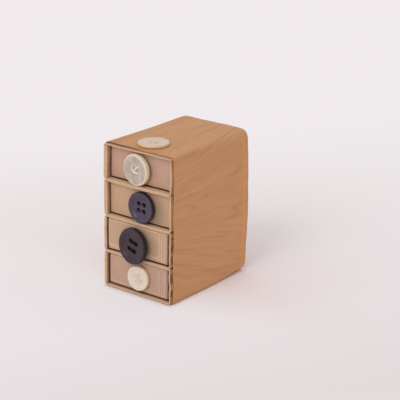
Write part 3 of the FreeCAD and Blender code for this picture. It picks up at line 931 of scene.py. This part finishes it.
def striker_dots_tree():
    """Tree that sets a low dome on every point of a grid."""
    tree, start, end = new_tree("striker_dots", Columns=WHOLE, Rows=WHOLE, Pitch=NUMBER, Dot_size=NUMBER,
                                Dot_rise=NUMBER)

    def span(count):
        return maths(tree, "MULTIPLY", maths(tree, "SUBTRACT", count, 1.0), start["Pitch"])

    columns, rows, size = start["Columns"], start["Rows"], start["Dot size"]
    grid = node(tree, "GeometryNodeMeshGrid", {"Size X": span(columns), "Size Y": span(rows),
                                               "Vertices X": columns, "Vertices Y": rows})
    dome = node(tree, "GeometryNodeMeshUVSphere", {"Segments": 8, "Rings": 4, "Radius": 0.5})
    flat = node(tree, "ShaderNodeCombineXYZ", {0: size, 1: size, 2: start["Dot rise"]})
    inputs = {"Points": grid.outputs["Mesh"], "Instance": dome.outputs["Mesh"], "Scale": flat.outputs[0]}
    dots = node(tree, "GeometryNodeInstanceOnPoints", inputs)
    finish_tree(tree, end, dots.outputs[0], STRIKER_PAPER)
    return tree


STRIKER_DOTS = striker_dots_tree()


def build_strips(number):
    """Strips on both sides of a sleeve, with dots on the end that shows."""
    low, high = measured(f"striker_strips_{number}")
    rows = int((high[2] - low[2] - DOT_MARGIN) / DOT_PITCH)
    middle_z = (low[2] + high[2]) / 2
    front = low[1] + DOTS_FROM + DOT_PITCH * (DOT_COLUMNS - 1) / 2
    shape = bmesh.new()
    for side in (-1, 1):
        inner = side * (high[0] - STRIP_THICKNESS)
        outer = side * (high[0] - STRIP_SKIN)
        foot = (min(inner, outer), low[1] + STRIP_FRONT, low[2])
        add_slab(shape, foot, (max(inner, outer), high[1] - STRIP_BACK, high[2]), STRIP_SKIN)
        dots = grown(bpy.data.meshes.new("dots"), STRIKER_DOTS, Columns=DOT_COLUMNS, Rows=rows,
                     Pitch=DOT_PITCH, Dot_size=DOT_SIZE, Dot_rise=2 * DOT_RISE)
        x, y, z = points_of(dots).T
        put_points(dots, np.stack([outer + side * z, front + x, middle_z + side * y], axis=1))
        shape.from_mesh(dots)
    mesh = mesh_of(f"striker_strips_{number}", shape)
    mark(mesh, "side", [OUTSIDE] * len(mesh.polygons))
    return mesh


for number in DRAWERS:
    show(build_strips(number), f"striker_strips_{number}", STRIKER_PAPER)

# %% [markdown]
# ## Card trays
# A tray is one piece of card: floor, side walls, and end walls folded over double, with
# tabs lapped inside the corners. It could be one box with its top cut out, but then no
# layers would show at the rim. So the outer shell is skinned over rings that step in under
# the front panel, turn over the rim and go down to the floor inside, and the inner layers,
# the tabs and the papers pasted on two of the fronts are pieces of their own.

# %% Tray layers
TRAY_CARD_THICKNESS = 0.5
TRAY_BEND, LEAST_BEND = 0.5, 0.08
PANEL_GAP, UNDERCUT, FLOOR_RISE = 0.65, 2.4, 0.95
TAB_LENGTH, TAB_DROP = 8.0, 0.5
LAYER_GAP, LAYER_SOFT = 0.02, 0.14
RIM_SOFT = 0.12
FACING_PAPER, FACING_BORDER, FACING_CORNER = 0.16, 0.3, 0.12
FACING_LEFT, FACING_MARGIN = 0.5, 0.3
FACING_INSETS = {3: ((1.1, 0.7), (2.6, 1.3), (3.8, 1.9)), 4: ((1.0, 0.5), (4.2, 0.9))}


def add_tray_shell(shape, low, high):
    """Floor and four walls in one skin, from steps of inset and height."""
    card = TRAY_CARD_THICKNESS
    panel = low[2] + PANEL_GAP
    floor = low[2] + FLOOR_RISE
    rim = high[2]
    steps = ((UNDERCUT + 0.1, low[2]), (UNDERCUT, low[2] + 0.1), (UNDERCUT, panel), (0.15, panel),
             (0.04, panel + 0.04), (0, panel + 0.15), (0, rim - RIM_SOFT), (0.03, rim - 0.03),
             (RIM_SOFT, rim), (card - RIM_SOFT, rim), (card, rim - RIM_SOFT), (card, floor + 0.5),
             (card + 0.2, floor + 0.1), (card + 0.6, floor))
    rings = stepped_rings(low[:2], high[:2], steps, TRAY_BEND, LEAST_BEND, run=10, bend=4)
    add_rings(shape, rings, caps=True)


def add_tray_layers(shape, low, high):
    """Second layers of the end walls, and the tabs in the corners."""
    card = TRAY_CARD_THICKNESS
    floor = low[2] + FLOOR_RISE
    left, right_end = low[0] + card, high[0] - card
    layers = ((left, right_end, 1, 0.0), (left, left + TAB_LENGTH, 2, TAB_DROP),
              (right_end - TAB_LENGTH, right_end, 2, TAB_DROP))
    for end, inwards in ((low[1], 1), (high[1], -1)):
        for start, stop, layer, drop in layers:
            near = end + inwards * (layer * card + LAYER_GAP)
            far = end + inwards * ((layer + 1) * card)
            foot = (start + LAYER_GAP, min(near, far), floor)
            add_slab(shape, foot, (stop - LAYER_GAP, max(near, far), high[2] - drop), LAYER_SOFT)


def add_facings(shape, number, low, high):
    """Papers pasted on the front, each a little smaller than the one under it."""
    rises = ((0, 0), (0, FACING_PAPER - 0.03), (0.05, FACING_PAPER), (FACING_BORDER, FACING_PAPER))
    for layer, (right_inset, foot_inset) in enumerate(FACING_INSETS.get(number, ())):
        foot = np.array((low[0] + FACING_LEFT, low[2] + PANEL_GAP + FACING_MARGIN + foot_inset))
        head = np.array((high[0] - right_inset, high[2] - FACING_MARGIN))
        under = low[1] - layer * FACING_PAPER
        steps = [(inset, under - rise) for inset, rise in rises]
        rings = stepped_rings(foot, head, steps, FACING_CORNER, FACING_CORNER, "xz", bend=2)
        add_rings(shape, rings, caps=True)


print("papers on fronts:", {number: len(insets) for number, insets in FACING_INSETS.items()})

# %% Trays
LEFT_PLAYS = {1: 0.2, 2: 0.2, 3: 0.2, 4: 0.7}
RIGHT_PLAYS = {1: 0.2, 2: 0.2, 3: 1.5, 4: 1.5}
RIM_RISES = {1: 0.5, 2: 0.5, 3: 0.5, 4: 0.1}
TRAY_TINTS = {1: 0.0, 2: 0.5, 3: 0.35, 4: 0.0}
# Strength of each button's painted shadow on its tray's front, and how far it falls to the button's right and
# below.
TRAY_BUTTON_SHADOWS = {1: 0.15, 2: 1.0, 3: 0.75, 4: 0.15}
BUTTON_SHADOW_ASIDE = (2.6, 0.0, -0.4)


def mark_tray(mesh, number, low, high):
    """Mark a tray's cut rim and paper borders, its tint, and where the painted shadow of its button falls on
    its front.
    """
    sides = []
    for face in mesh.polygons:
        on_rim = face.normal.z > 0.5 and face.center.z > high[2] - 0.6
        on_border = face.center.y < low[1] - 0.02 and face.area < 8 and len(face.vertices) == 4
        sides.append(CUT if on_rim or on_border else OUTSIDE)
    mark(mesh, "side", sides)
    mark(mesh, "tint", [TRAY_TINTS[number]] * len(mesh.polygons))
    button_low, button_high = measured(f"button_{number}")
    pull = settle([(button_low + button_high) / 2 + BUTTON_SHADOW_ASIDE])[0]
    pull[1] = low[1]
    mark(mesh, "pull", [pull] * len(mesh.polygons), kind="FLOAT_VECTOR")
    mark(mesh, "handled", [TRAY_BUTTON_SHADOWS[number] * (face.center.y < low[1] + 0.1) for face in mesh.polygons])


def build_tray(number):
    """Card tray with its layers and papers, loose in its sleeve."""
    low, high = measured(f"tray_{number}")
    low = low + (LEFT_PLAYS[number], 0, 0)
    high = high + (-RIGHT_PLAYS[number], 0, RIM_RISES[number])
    shape = bmesh.new()
    add_tray_shell(shape, low, high)
    add_tray_layers(shape, low, high)
    add_facings(shape, number, low, high)
    mesh = mesh_of(f"tray_{number}", shape)
    mark_tray(mesh, number, low, high)
    return mesh


for number in DRAWERS:
    show(build_tray(number), f"tray_{number}", TRAY_CARD)

# %% [markdown]
# ## Button finishes
# The buttons are moulded plastic: one pearly, two dark, two cream. One colour each would look like a drawing,
# so swirls of pigment change the colour a little over each one, the rim has a colour of its own, and fine
# scratches change the gloss. On the two dark buttons that rim colour is painted shade on the side wall; on
# the pale ones it is partly their cream tone and partly painted light where the side catches the lamp. The
# plain values, such as the clear coat, are set on the shader itself.


# %% Button materials
def button_finish(name, dark, light, rim_tone_and_shade, rough, swirl_size=6.0, **plain):
    """Moulded plastic that swirls between two shades, with a rim colour that is painted shade on dark buttons
    and partly painted light on pale ones.
    """
    material, tree, shader = new_finish(name, **plain)
    cloud = node(tree, "ShaderNodeGroup", {"Swirl size": swirl_size}, node_tree=MOULDED_CLOUD).outputs
    swirled = ramp(tree, cloud["Swirl"], [(0.32, colour(*dark)), (0.68, colour(*light))])
    shade = blend(tree, attribute(tree, "rim"), swirled, colour(*rim_tone_and_shade))
    surface(tree, shader, shade, cloud["Scratch"], (rough - 0.08, rough + 0.1), 0.004)
    return material


# The third colour of each is its rim: painted shade on the dark buttons, partly cream tone and partly painted
# light on the pale ones.
BUTTON_FINISHES = {
    "button_1": button_finish("pearl_button", (179, 161, 148), (201, 184, 169), (230, 214, 186), 0.3, 7.0,
                              Coat_Weight=0.3, Coat_Roughness=0.15),
    "button_2": button_finish("navy_button", (62, 50, 68), (76, 64, 82), (38, 28, 40), 0.34),
    "button_3": button_finish("charcoal_button", (44, 28, 38), (59, 40, 50), (30, 20, 26), 0.4),
    "button_4": button_finish("cream_button", (224, 209, 193), (234, 220, 204), (234, 216, 186), 0.32),
    "top_button": button_finish("white_button", (214, 189, 168), (226, 203, 184), (220, 190, 150), 0.3),
}
print("buttons:", [material.name for material in BUTTON_FINISHES.values()])

# %% [markdown]
# ## Button shapes
# A button with four holes is easy to spoil: cutting holes with a boolean leaves ragged
# faces. Here each quarter of the button is drawn as loops that spread from its own hole
# out to the edge of the quarter, so that the holes are round and every face has four
# sides. The heights follow a profile: a dished middle, a raised rim and a soft edge.

# %% Button sizes
Button = namedtuple("Button", "diameter thickness rim dish hole pitch yaw tilt turn")
BUTTONS = {
    "button_1": Button(14.4, 2.6, 2.6, 0.6, 1.5, 2.9, yaw=4.0, tilt=-1.0, turn=8.0),
    "button_2": Button(14.2, 2.1, 1.3, 0.75, 2.0, 3.1, yaw=1.0, tilt=1.0, turn=-3.0),
    "button_3": Button(16.5, 2.6, 1.5, 0.75, 1.9, 3.8, yaw=6.0, tilt=3.0, turn=-14.0),
    "button_4": Button(11.6, 2.0, 1.6, 0.35, 1.3, 2.5, yaw=-1.5, tilt=1.0, turn=20.0),
    "top_button": Button(14.2, 1.3, 1.5, 0.25, 1.4, 2.6, yaw=0.0, tilt=90.0, turn=30.0),
}
HOLES = np.array(((1, 1), (-1, 1), (-1, -1), (1, -1)))
STEPS = 14
LOOP_SHARES = (0, 0.03, 0.08, 0.2, 0.4, 0.65, 1)
HOLE_SOFT, EDGE_SOFT = 0.14, 0.7
CROWN = 0.12
RIM_SHADE, DARK_RIM_SHADE = 1.0, 0.45
DARK_BUTTONS = ("button_2", "button_3")


def quarter_loops(button, reach):
    """Loops from one hole out to the edge of its quarter of the button's middle."""
    steps = np.linspace(0, 1, STEPS, endpoint=False)
    bend = np.pi / 2 * steps
    along_x = np.stack([reach * steps, 0 * steps], axis=1)
    arc = reach * np.stack([np.cos(bend), np.sin(bend)], axis=1)
    along_y = np.stack([0 * steps, reach * (1 - steps)], axis=1)
    border = np.concatenate([along_x, arc, along_y])
    centre = HOLES[0] * button.pitch / 2
    away = border - centre
    round_hole = centre + away / np.linalg.norm(away, axis=1)[:, None] * button.hole / 2
    return [round_hole + (border - round_hole) * share for share in LOOP_SHARES]


print("each quarter of a button has", len(LOOP_SHARES), "loops of", 3 * STEPS, "points")


# %% Buttons
def button_mesh(name):
    """Round button with four holes, its back at height 0 and its axis upright."""
    button = BUTTONS[name]
    thickness, dish = button.thickness, button.dish
    radius = button.diameter / 2
    edge = min(EDGE_SOFT, 0.4 * thickness, 0.4 * button.rim)
    rim_inside = radius - button.rim
    reach = rim_inside - 2 * dish

    def face_height(distance):
        raised = ease((distance - reach) / (rim_inside - reach))
        crown = CROWN * dish * np.sin(np.pi * np.clip((distance - rim_inside) / button.rim, 0, 1))
        return thickness - dish + dish * raised - CROWN * dish + crown

    shape = bmesh.new()
    for quarter in range(4):
        turn = np.array(Matrix.Rotation(quarter * math.pi / 2, 2))
        loops = [loop @ turn.T for loop in quarter_loops(button, reach)]
        sunk = [HOLE_SOFT, 0.03] + [0] * (len(loops) - 2)
        heights = [face_height(np.linalg.norm(loop, axis=1)) for loop in loops]
        front = [flat_ring(loop, height - drop) for loop, height, drop in zip(loops, heights, sunk)]
        back = [flat_ring(loop, drop) for loop, drop in zip(loops, sunk)]
        add_rings(shape, front[::-1] + back)
    profile = [(distance, face_height(distance)) for distance in np.linspace(reach, radius - edge, 12)]
    top = profile[-1][1]
    for angle in np.radians(np.linspace(0, 90, 6)[1:]):
        profile.append((radius - edge + edge * math.sin(angle), top - edge + edge * math.cos(angle)))
    for angle in np.radians(np.linspace(90, 180, 6)):
        profile.append((radius - edge + edge * math.sin(angle), edge + edge * math.cos(angle)))
    profile.append((reach, 0))
    add_rings(shape, [flat_ring(circle(4 * STEPS) * distance, height) for distance, height in profile])
    mesh = mesh_of(name, shape)
    out_from_middle = np.linalg.norm(points_of(mesh)[:, :2], axis=1)
    # A narrower rim band on the dark buttons, so that the painted shade falls mainly on the side wall.
    band = DARK_RIM_SHADE if name in DARK_BUTTONS else RIM_SHADE
    mark(mesh, "rim", ease((out_from_middle - radius + band) / (0.6 * band)), "POINT")
    return mesh


def button_place(name):
    """Turn and position of a button, from its part of the measured model."""
    button = BUTTONS[name]
    yaw, tilt, turn = (math.radians(angle) for angle in (button.yaw, button.tilt, button.turn))
    swing = Matrix.Rotation(-yaw, 3, "Z") @ Matrix.Rotation(math.pi / 2 - tilt, 3, "X")
    turned = np.array(swing @ Matrix.Rotation(turn, 3, "Z"))
    low, high = measured(name)
    middle = (low + high) / 2
    seat = middle - turned @ (0, 0, button.thickness / 2)
    return turned, seat, settle([middle])[0] - middle


for name, finish in BUTTON_FINISHES.items():
    turned, seat, shift = button_place(name)
    show(button_mesh(name), name, finish, lambda points: points @ turned.T + seat + shift, sharp=60)

# %% [markdown]
# ## Sewing thread, by Geometry Nodes
# Each button is sewn on with two double stitches: down through the tray, across, and up again, with a knot
# inside. A plain tube would look like wire. The tree lays three strands round a line, each turned a third
# further and winding as it goes, which is how thread is spun, and gives each strand a round section. On the
# navy button the thread is coloured near black, as painted shade in its holes, and shows its own navy colour
# only where it crosses the button's face.


# %% Thread tree and materials
def thread_finish(name, dark, light, sheen=0.25, thread_on_face=None):
    """Cotton: matt, fuzzy, lighter in patches, with another colour where it crosses a button's face, when one
    is given.
    """
    material, tree, shader = new_finish(name, Specular_IOR_Level=0.15, Sheen_Weight=sheen)
    fibre = node(tree, "ShaderNodeGroup", {"Fineness": 6.0}, node_tree=PAPER_FIBRE).outputs["Fibre"]
    spun = blend(tree, fibre, colour(*dark), colour(*light))
    shade = blend(tree, attribute(tree, "thread_on_face"), spun, colour(*(thread_on_face or light)))
    surface(tree, shader, shade, fibre, (0.75, 0.95), 0.02)
    return material


WHITE_THREAD = thread_finish("white_thread", (228, 216, 202), (242, 232, 220))
CREAM_THREAD = thread_finish("cream_thread", (226, 206, 190), (244, 228, 212))
# The navy thread's near-black colour is painted shade for its holes; its own navy colour shows where it
# crosses the button's face.
NAVY_THREAD = thread_finish("navy_thread", (8, 5, 9), (14, 10, 16), 0.0, (70, 58, 76))
BLACK_THREAD = thread_finish("black_thread", (9, 6, 8), (18, 13, 16), 0.03)
STRAND_STEP, STRAND_SHARE, STRAND_SIDES = 0.16, 0.52, 7


def spun_thread_tree():
    """Tree that winds strands round a line."""
    tree, start, end = new_tree("spun_thread", Strands=WHOLE, Thread_radius=NUMBER, Turns_per_mm=NUMBER,
                                Material="NodeSocketMaterial")
    line = node(tree, "GeometryNodeResampleCurve", {"Curve": start[0], "Length": STRAND_STEP}, mode="LENGTH")
    inputs = {"Geometry": line.outputs[0], "Amount": start["Strands"]}
    strands = node(tree, "GeometryNodeDuplicateElements", inputs, domain="SPLINE").outputs
    length = node(tree, "GeometryNodeSplineParameter").outputs["Length"]
    share = maths(tree, "DIVIDE", strands["Duplicate Index"], start["Strands"])
    turns = maths(tree, "ADD", share, maths(tree, "MULTIPLY", length, start["Turns per mm"]))
    angle = maths(tree, "MULTIPLY", turns, 2 * math.pi)
    half = maths(tree, "MULTIPLY", start["Thread radius"], STRAND_SHARE)
    normal = node(tree, "GeometryNodeInputNormal").outputs[0]
    across = vectors(tree, "CROSS_PRODUCT", node(tree, "GeometryNodeInputTangent").outputs[0], normal)
    sideways = vectors(tree, "SCALE", normal, maths(tree, "MULTIPLY", half, maths(tree, "COSINE", angle)))
    upwards = vectors(tree, "SCALE", across, maths(tree, "MULTIPLY", half, maths(tree, "SINE", angle)))
    inputs = {"Geometry": strands[0], "Offset": vectors(tree, "ADD", sideways, upwards)}
    wound = node(tree, "GeometryNodeSetPosition", inputs)
    section = node(tree, "GeometryNodeCurvePrimitiveCircle", {"Resolution": STRAND_SIDES, "Radius": half})
    inputs = {"Curve": wound.outputs[0], "Profile Curve": section.outputs[0], "Fill Caps": True}
    tube = node(tree, "GeometryNodeCurveToMesh", inputs)
    finish_tree(tree, end, tube.outputs[0], start["Material"])
    return tree


SPUN_THREAD = spun_thread_tree()

# %% [markdown]
# The route takes the four holes in turn, or crosswise on the top drawer's button. Points
# are set in the middle of each hole, just above the button's face and just behind the
# card, and a smooth NURBS line rounds them off. The knot is a clover leaf of the same
# thread, pulled tight against the card. In the holes thread lies packed, so a wad of it
# fills each of them, a little below the face.

# %% Thread routes
STITCH_GAP = 0.03
END_WALL = 1.0
KNOT_RADIUS, KNOT_SHARE = 0.42, 0.55
STRAIGHT, CROSSED = (0, 1, 2, 3), (0, 2, 1, 3)
CROSSING_LIFT = 2.5


def stitch_route(number, radius, order):
    """Points of the thread of a drawer's button, from the knot round to the knot."""
    button = BUTTONS[f"button_{number}"]
    turned, seat, _ = button_place(f"button_{number}")
    face = button.thickness - button.dish
    lift = radius + STITCH_GAP
    inside = measured(f"tray_{number}")[0][1] + END_WALL + lift
    fronts, middles, backs = [], [], []
    for index in order:
        spot = np.append(HOLES[index] * button.pitch / 2, 0)
        fronts.append(turned @ (spot + (0, 0, face + lift)) + seat)
        middles.append(turned @ (spot + (0, 0, face / 2)) + seat)
        behind = turned @ spot + seat
        backs.append(np.array((behind[0], inside, behind[2])))
    start = (backs[0] + backs[3]) / 2
    over = (fronts[2] + fronts[3]) / 2 + turned @ (0, 0, CROSSING_LIFT * radius * (order == CROSSED))
    return np.array([start, backs[0], middles[0], fronts[0], fronts[1], middles[1], backs[1],
                     backs[2], middles[2], fronts[2], over, fronts[3], middles[3], backs[3], start])


def clover(centre, radius):
    """Points of a small tight knot, seen flat against the card."""
    turns = np.linspace(0, 2 * np.pi, 25)
    flat = KNOT_SHARE * KNOT_RADIUS
    x = flat * (np.sin(turns) + 2 * np.sin(2 * turns))
    z = flat * (np.cos(turns) - 2 * np.cos(2 * turns))
    return np.stack([x, radius * (2.2 - np.sin(3 * turns)), z], axis=1) + centre


def thread_line(points):
    """Smooth line through a route."""
    curve = bpy.data.curves.new("route", "CURVE")
    curve.dimensions = "3D"
    spline = curve.splines.new("NURBS")
    spline.points.add(len(points) - 1)
    for spot, point in zip(spline.points, points):
        spot.co = (*point, 1)
    spline.order_u = 3
    spline.use_endpoint_u = True
    return curve


print("a knot has", len(clover((0, 0, 0), 1)), "points")

# %% Threads
STITCHES = {1: (WHITE_THREAD, 0.42, CROSSED), 2: (NAVY_THREAD, 0.16, STRAIGHT),
            3: (BLACK_THREAD, 0.34, STRAIGHT), 4: (CREAM_THREAD, 0.42, STRAIGHT)}
WADS = {1: (0.62, 0.12), 2: (0.85, 0.55), 3: (0.82, 0.2), 4: (0.53, 0.1)}
PASS_SPREAD, PASS_SHARE = 0.62, 0.72
STRANDS, TURNS_PER_MM = 3, 0.6
HOLE_SHADE_BUTTON, ON_FACE_BELOW = 2, 0.02


def add_posts(shape, section, spots, steps, moved=lambda ring: ring):
    """Post in each hole of a button, with rings at steps of share and height."""
    for spot in spots:
        rings = [moved(flat_ring(section * share + spot, level)) for share, level in steps]
        add_rings(shape, rings, caps=True)


def build_thread(number):
    """Two spun threads side by side through a button, their knot, and the wads in the holes."""
    button = BUTTONS[f"button_{number}"]
    turned, seat, _ = button_place(f"button_{number}")
    material, radius, order = STITCHES[number]
    route = stitch_route(number, radius, order)
    aside = turned @ (0, radius * PASS_SPREAD, 0)
    shape = bmesh.new()
    for points in (route + aside, route - aside, clover(route[0], radius)):
        shape.from_mesh(grown(thread_line(points), SPUN_THREAD, Strands=STRANDS, Material=material,
                              Thread_radius=radius * PASS_SHARE, Turns_per_mm=TURNS_PER_MM))
    face = button.thickness - button.dish
    wad_radius, depth = WADS[number]
    top = face - depth
    steps = ((0.8, 0.05), (1, 0.2), (1, top - 0.15), (0.7, top))
    spots = HOLES * button.pitch / 2
    add_posts(shape, circle(14) * wad_radius, spots, steps, lambda ring: ring @ turned.T + seat)
    mesh = plain_mesh(f"thread_{number}", shape)
    # On the navy button, points above its face keep the thread's own colour; below it the thread is painted
    # shade.
    on_face = (points_of(mesh) - seat) @ turned[:, 2] > face - ON_FACE_BELOW
    mark(mesh, "thread_on_face", on_face * float(number == HOLE_SHADE_BUTTON), "POINT")
    return mesh


for number in DRAWERS:
    shift = button_place(f"button_{number}")[2]
    show(build_thread(number), f"thread_{number}", STITCHES[number][0], lambda points: points + shift)

# %% [markdown]
# ## Glue under the top button
# The top button is held by a spot of clear glue that was squeezed out unevenly. A fluid
# simulation would be too much for so little of it, so it is a low disc whose rim wanders
# in and out, with four plugs where it came up the holes.

# %% Glue
GLUE_WANDER = 0.35
PLUG_GAP, PLUG_LAP = 0.03, 0.02


def glue_finish():
    """Dried glue, yellowish and shiny."""
    material, tree, shader = new_finish("glue", Coat_Weight=0.4)
    cloud = node(tree, "ShaderNodeGroup", node_tree=MOULDED_CLOUD).outputs
    shade = blend(tree, cloud["Swirl"], colour(196, 160, 112), colour(224, 194, 148))
    surface(tree, shader, shade, cloud["Scratch"], (0.2, 0.36))
    return material


def build_glue():
    """Low disc of glue with a wandering rim, and the plugs in the button's holes."""
    low, high = measured("top_button_glue")
    disc = circle(48)
    rim = (high[0] - low[0]) / 2 + GLUE_WANDER * uneven(9 * disc[:, 1] + 4 * disc[:, 0], 2.6)
    rings = []
    for share, level in ((0.9, low[2]), (1.0, low[2] + 0.05), (0.98, high[2] - 0.06), (0.9, high[2])):
        rings.append(flat_ring(disc * (rim * share)[:, None] + ((low + high) / 2)[:2], level))
    shape = bmesh.new()
    add_rings(shape, rings, caps=True)
    button = BUTTONS["top_button"]
    turned, seat, _ = button_place("top_button")
    top = seat[2] + button.thickness - button.dish - HOLE_SOFT
    spots = [(turned @ np.append(hole * button.pitch / 2, 0) + seat)[:2] for hole in HOLES]
    steps = ((1, high[2] - PLUG_LAP), (1, top - 0.2), (0.8, top - 0.06), (0.4, top))
    add_posts(shape, circle(16) * (button.hole / 2 - PLUG_GAP), spots, steps)
    return mesh_of("top_button_glue", shape)


show(build_glue(), "top_button_glue", glue_finish())

# %% [markdown]
# ## Table
# The chest stands on a plain pale table. Close to the chest the table takes the light as
# it falls. Further out, and more gently in front, its own colour takes over, so that it
# stays even, but the dark line along the chest's foot is kept. A large lit backdrop would
# also give an even table, but it would light the chest as well.

# %% Table
FLOOR_HALF = 2.0
TABLE_SHADES = [(0.0, colour(226, 220, 221)), (0.22, colour(234, 228, 230)), (0.68, colour(235, 229, 230)),
                (1.0, colour(240, 234, 236))]
TABLE_BRIGHTENS, TABLE_REACH = (-0.6, 0.4, 0.0), (-90.0, 160.0)
SHADOW_REACH = (75.0, 190.0)
LIT_SHARE = 0.885
FRONT_EVEN, FRONT_REACH = 0.62, (5.0, -25.0)
CONTACT_REACH = (0.4, 2.4)


def table_finish():
    """Pale table that shows its own colour to the camera, except in the chest's shadow."""
    material, tree, shader = new_finish("pale_table", Roughness=0.9, Specular_IOR_Level=0.0)
    place = millimetres(tree)
    axis = axes(tree, place)
    depth = vectors(tree, "DOT_PRODUCT", place, TABLE_BRIGHTENS)
    shade = ramp(tree, spread(tree, depth, TABLE_REACH), TABLE_SHADES)
    tree.links.new(vectors(tree, "SCALE", shade, 1 / LIT_SHARE), shader.inputs["Base Color"])
    far_out = spread(tree, vectors(tree, "LENGTH", place), SHADOW_REACH)
    beside = maths(tree, "SUBTRACT", maths(tree, "ABSOLUTE", axis["X"]), film_half)
    before = maths(tree, "SUBTRACT", sleeve_low[1], axis["Y"])
    clear = spread(tree, maths(tree, "MAXIMUM", beside, before), CONTACT_REACH)
    in_front = spread(tree, axis["Y"], FRONT_REACH, (0.0, FRONT_EVEN))
    even = maths(tree, "MAXIMUM", far_out, maths(tree, "MULTIPLY", in_front, clear))
    ray = node(tree, "ShaderNodeLightPath").outputs
    mirrored = maths(tree, "ADD", ray["Is Glossy Ray"], ray["Is Transmission Ray"])
    seen = maths(tree, "ADD", ray["Is Camera Ray"], mirrored)
    own = node(tree, "ShaderNodeEmission", {"Color": shade, "Strength": 1.0}).outputs[0]
    inputs = {0: maths(tree, "MULTIPLY", seen, even), 1: shader.outputs[0], 2: own}
    shown = node(tree, "ShaderNodeMixShader", inputs).outputs[0]
    tree.links.new(shown, tree.nodes["Material Output"].inputs[0])
    return material


floor_mesh = bpy.data.meshes.new("floor")
floor_corners = [(x * FLOOR_HALF, y * FLOOR_HALF, 0) for x, y in ((-1, -1), (1, -1), (1, 1), (-1, 1))]
floor_mesh.from_pydata(floor_corners, [], [(0, 1, 2, 3)])
floor_mesh.materials.append(table_finish())
floor = placed("floor", floor_mesh)
print("table", 2 * FLOOR_HALF, "m wide")

# %% [markdown]
# ## Light
# The light is soft and plain, as by a window: a bright surround, and one large lamp above
# and in front, which leaves a faint shadow behind. Several lamps would give several
# shadows, and the real chest has one.

# %% Light
SURROUND_COLOUR, SURROUND_STRENGTH = colour(252, 250, 250), 0.76
LAMP_POWER, LAMP_SIZE = 3.6, 0.6
LAMP_PLACE, LAMP_AIM = Vector((0.14, -0.95, 0.75)), Vector((0, 0, 0.03))

world = bpy.data.worlds.new("surround")
world.use_nodes = True
surround = world.node_tree.nodes["Background"].inputs
surround["Color"].default_value = SURROUND_COLOUR
surround["Strength"].default_value = SURROUND_STRENGTH
bpy.context.scene.world = world
lamp = placed("window", bpy.data.lights.new("window", "AREA"))
lamp.data.energy = LAMP_POWER
lamp.data.size = LAMP_SIZE
lamp.location = LAMP_PLACE
lamp.rotation_euler = (LAMP_AIM - LAMP_PLACE).to_track_quat("-Z", "Y").to_euler()
bpy.context.scene.view_settings.view_transform = "Standard"
print("lamp at", np.round(lamp.location, 2))
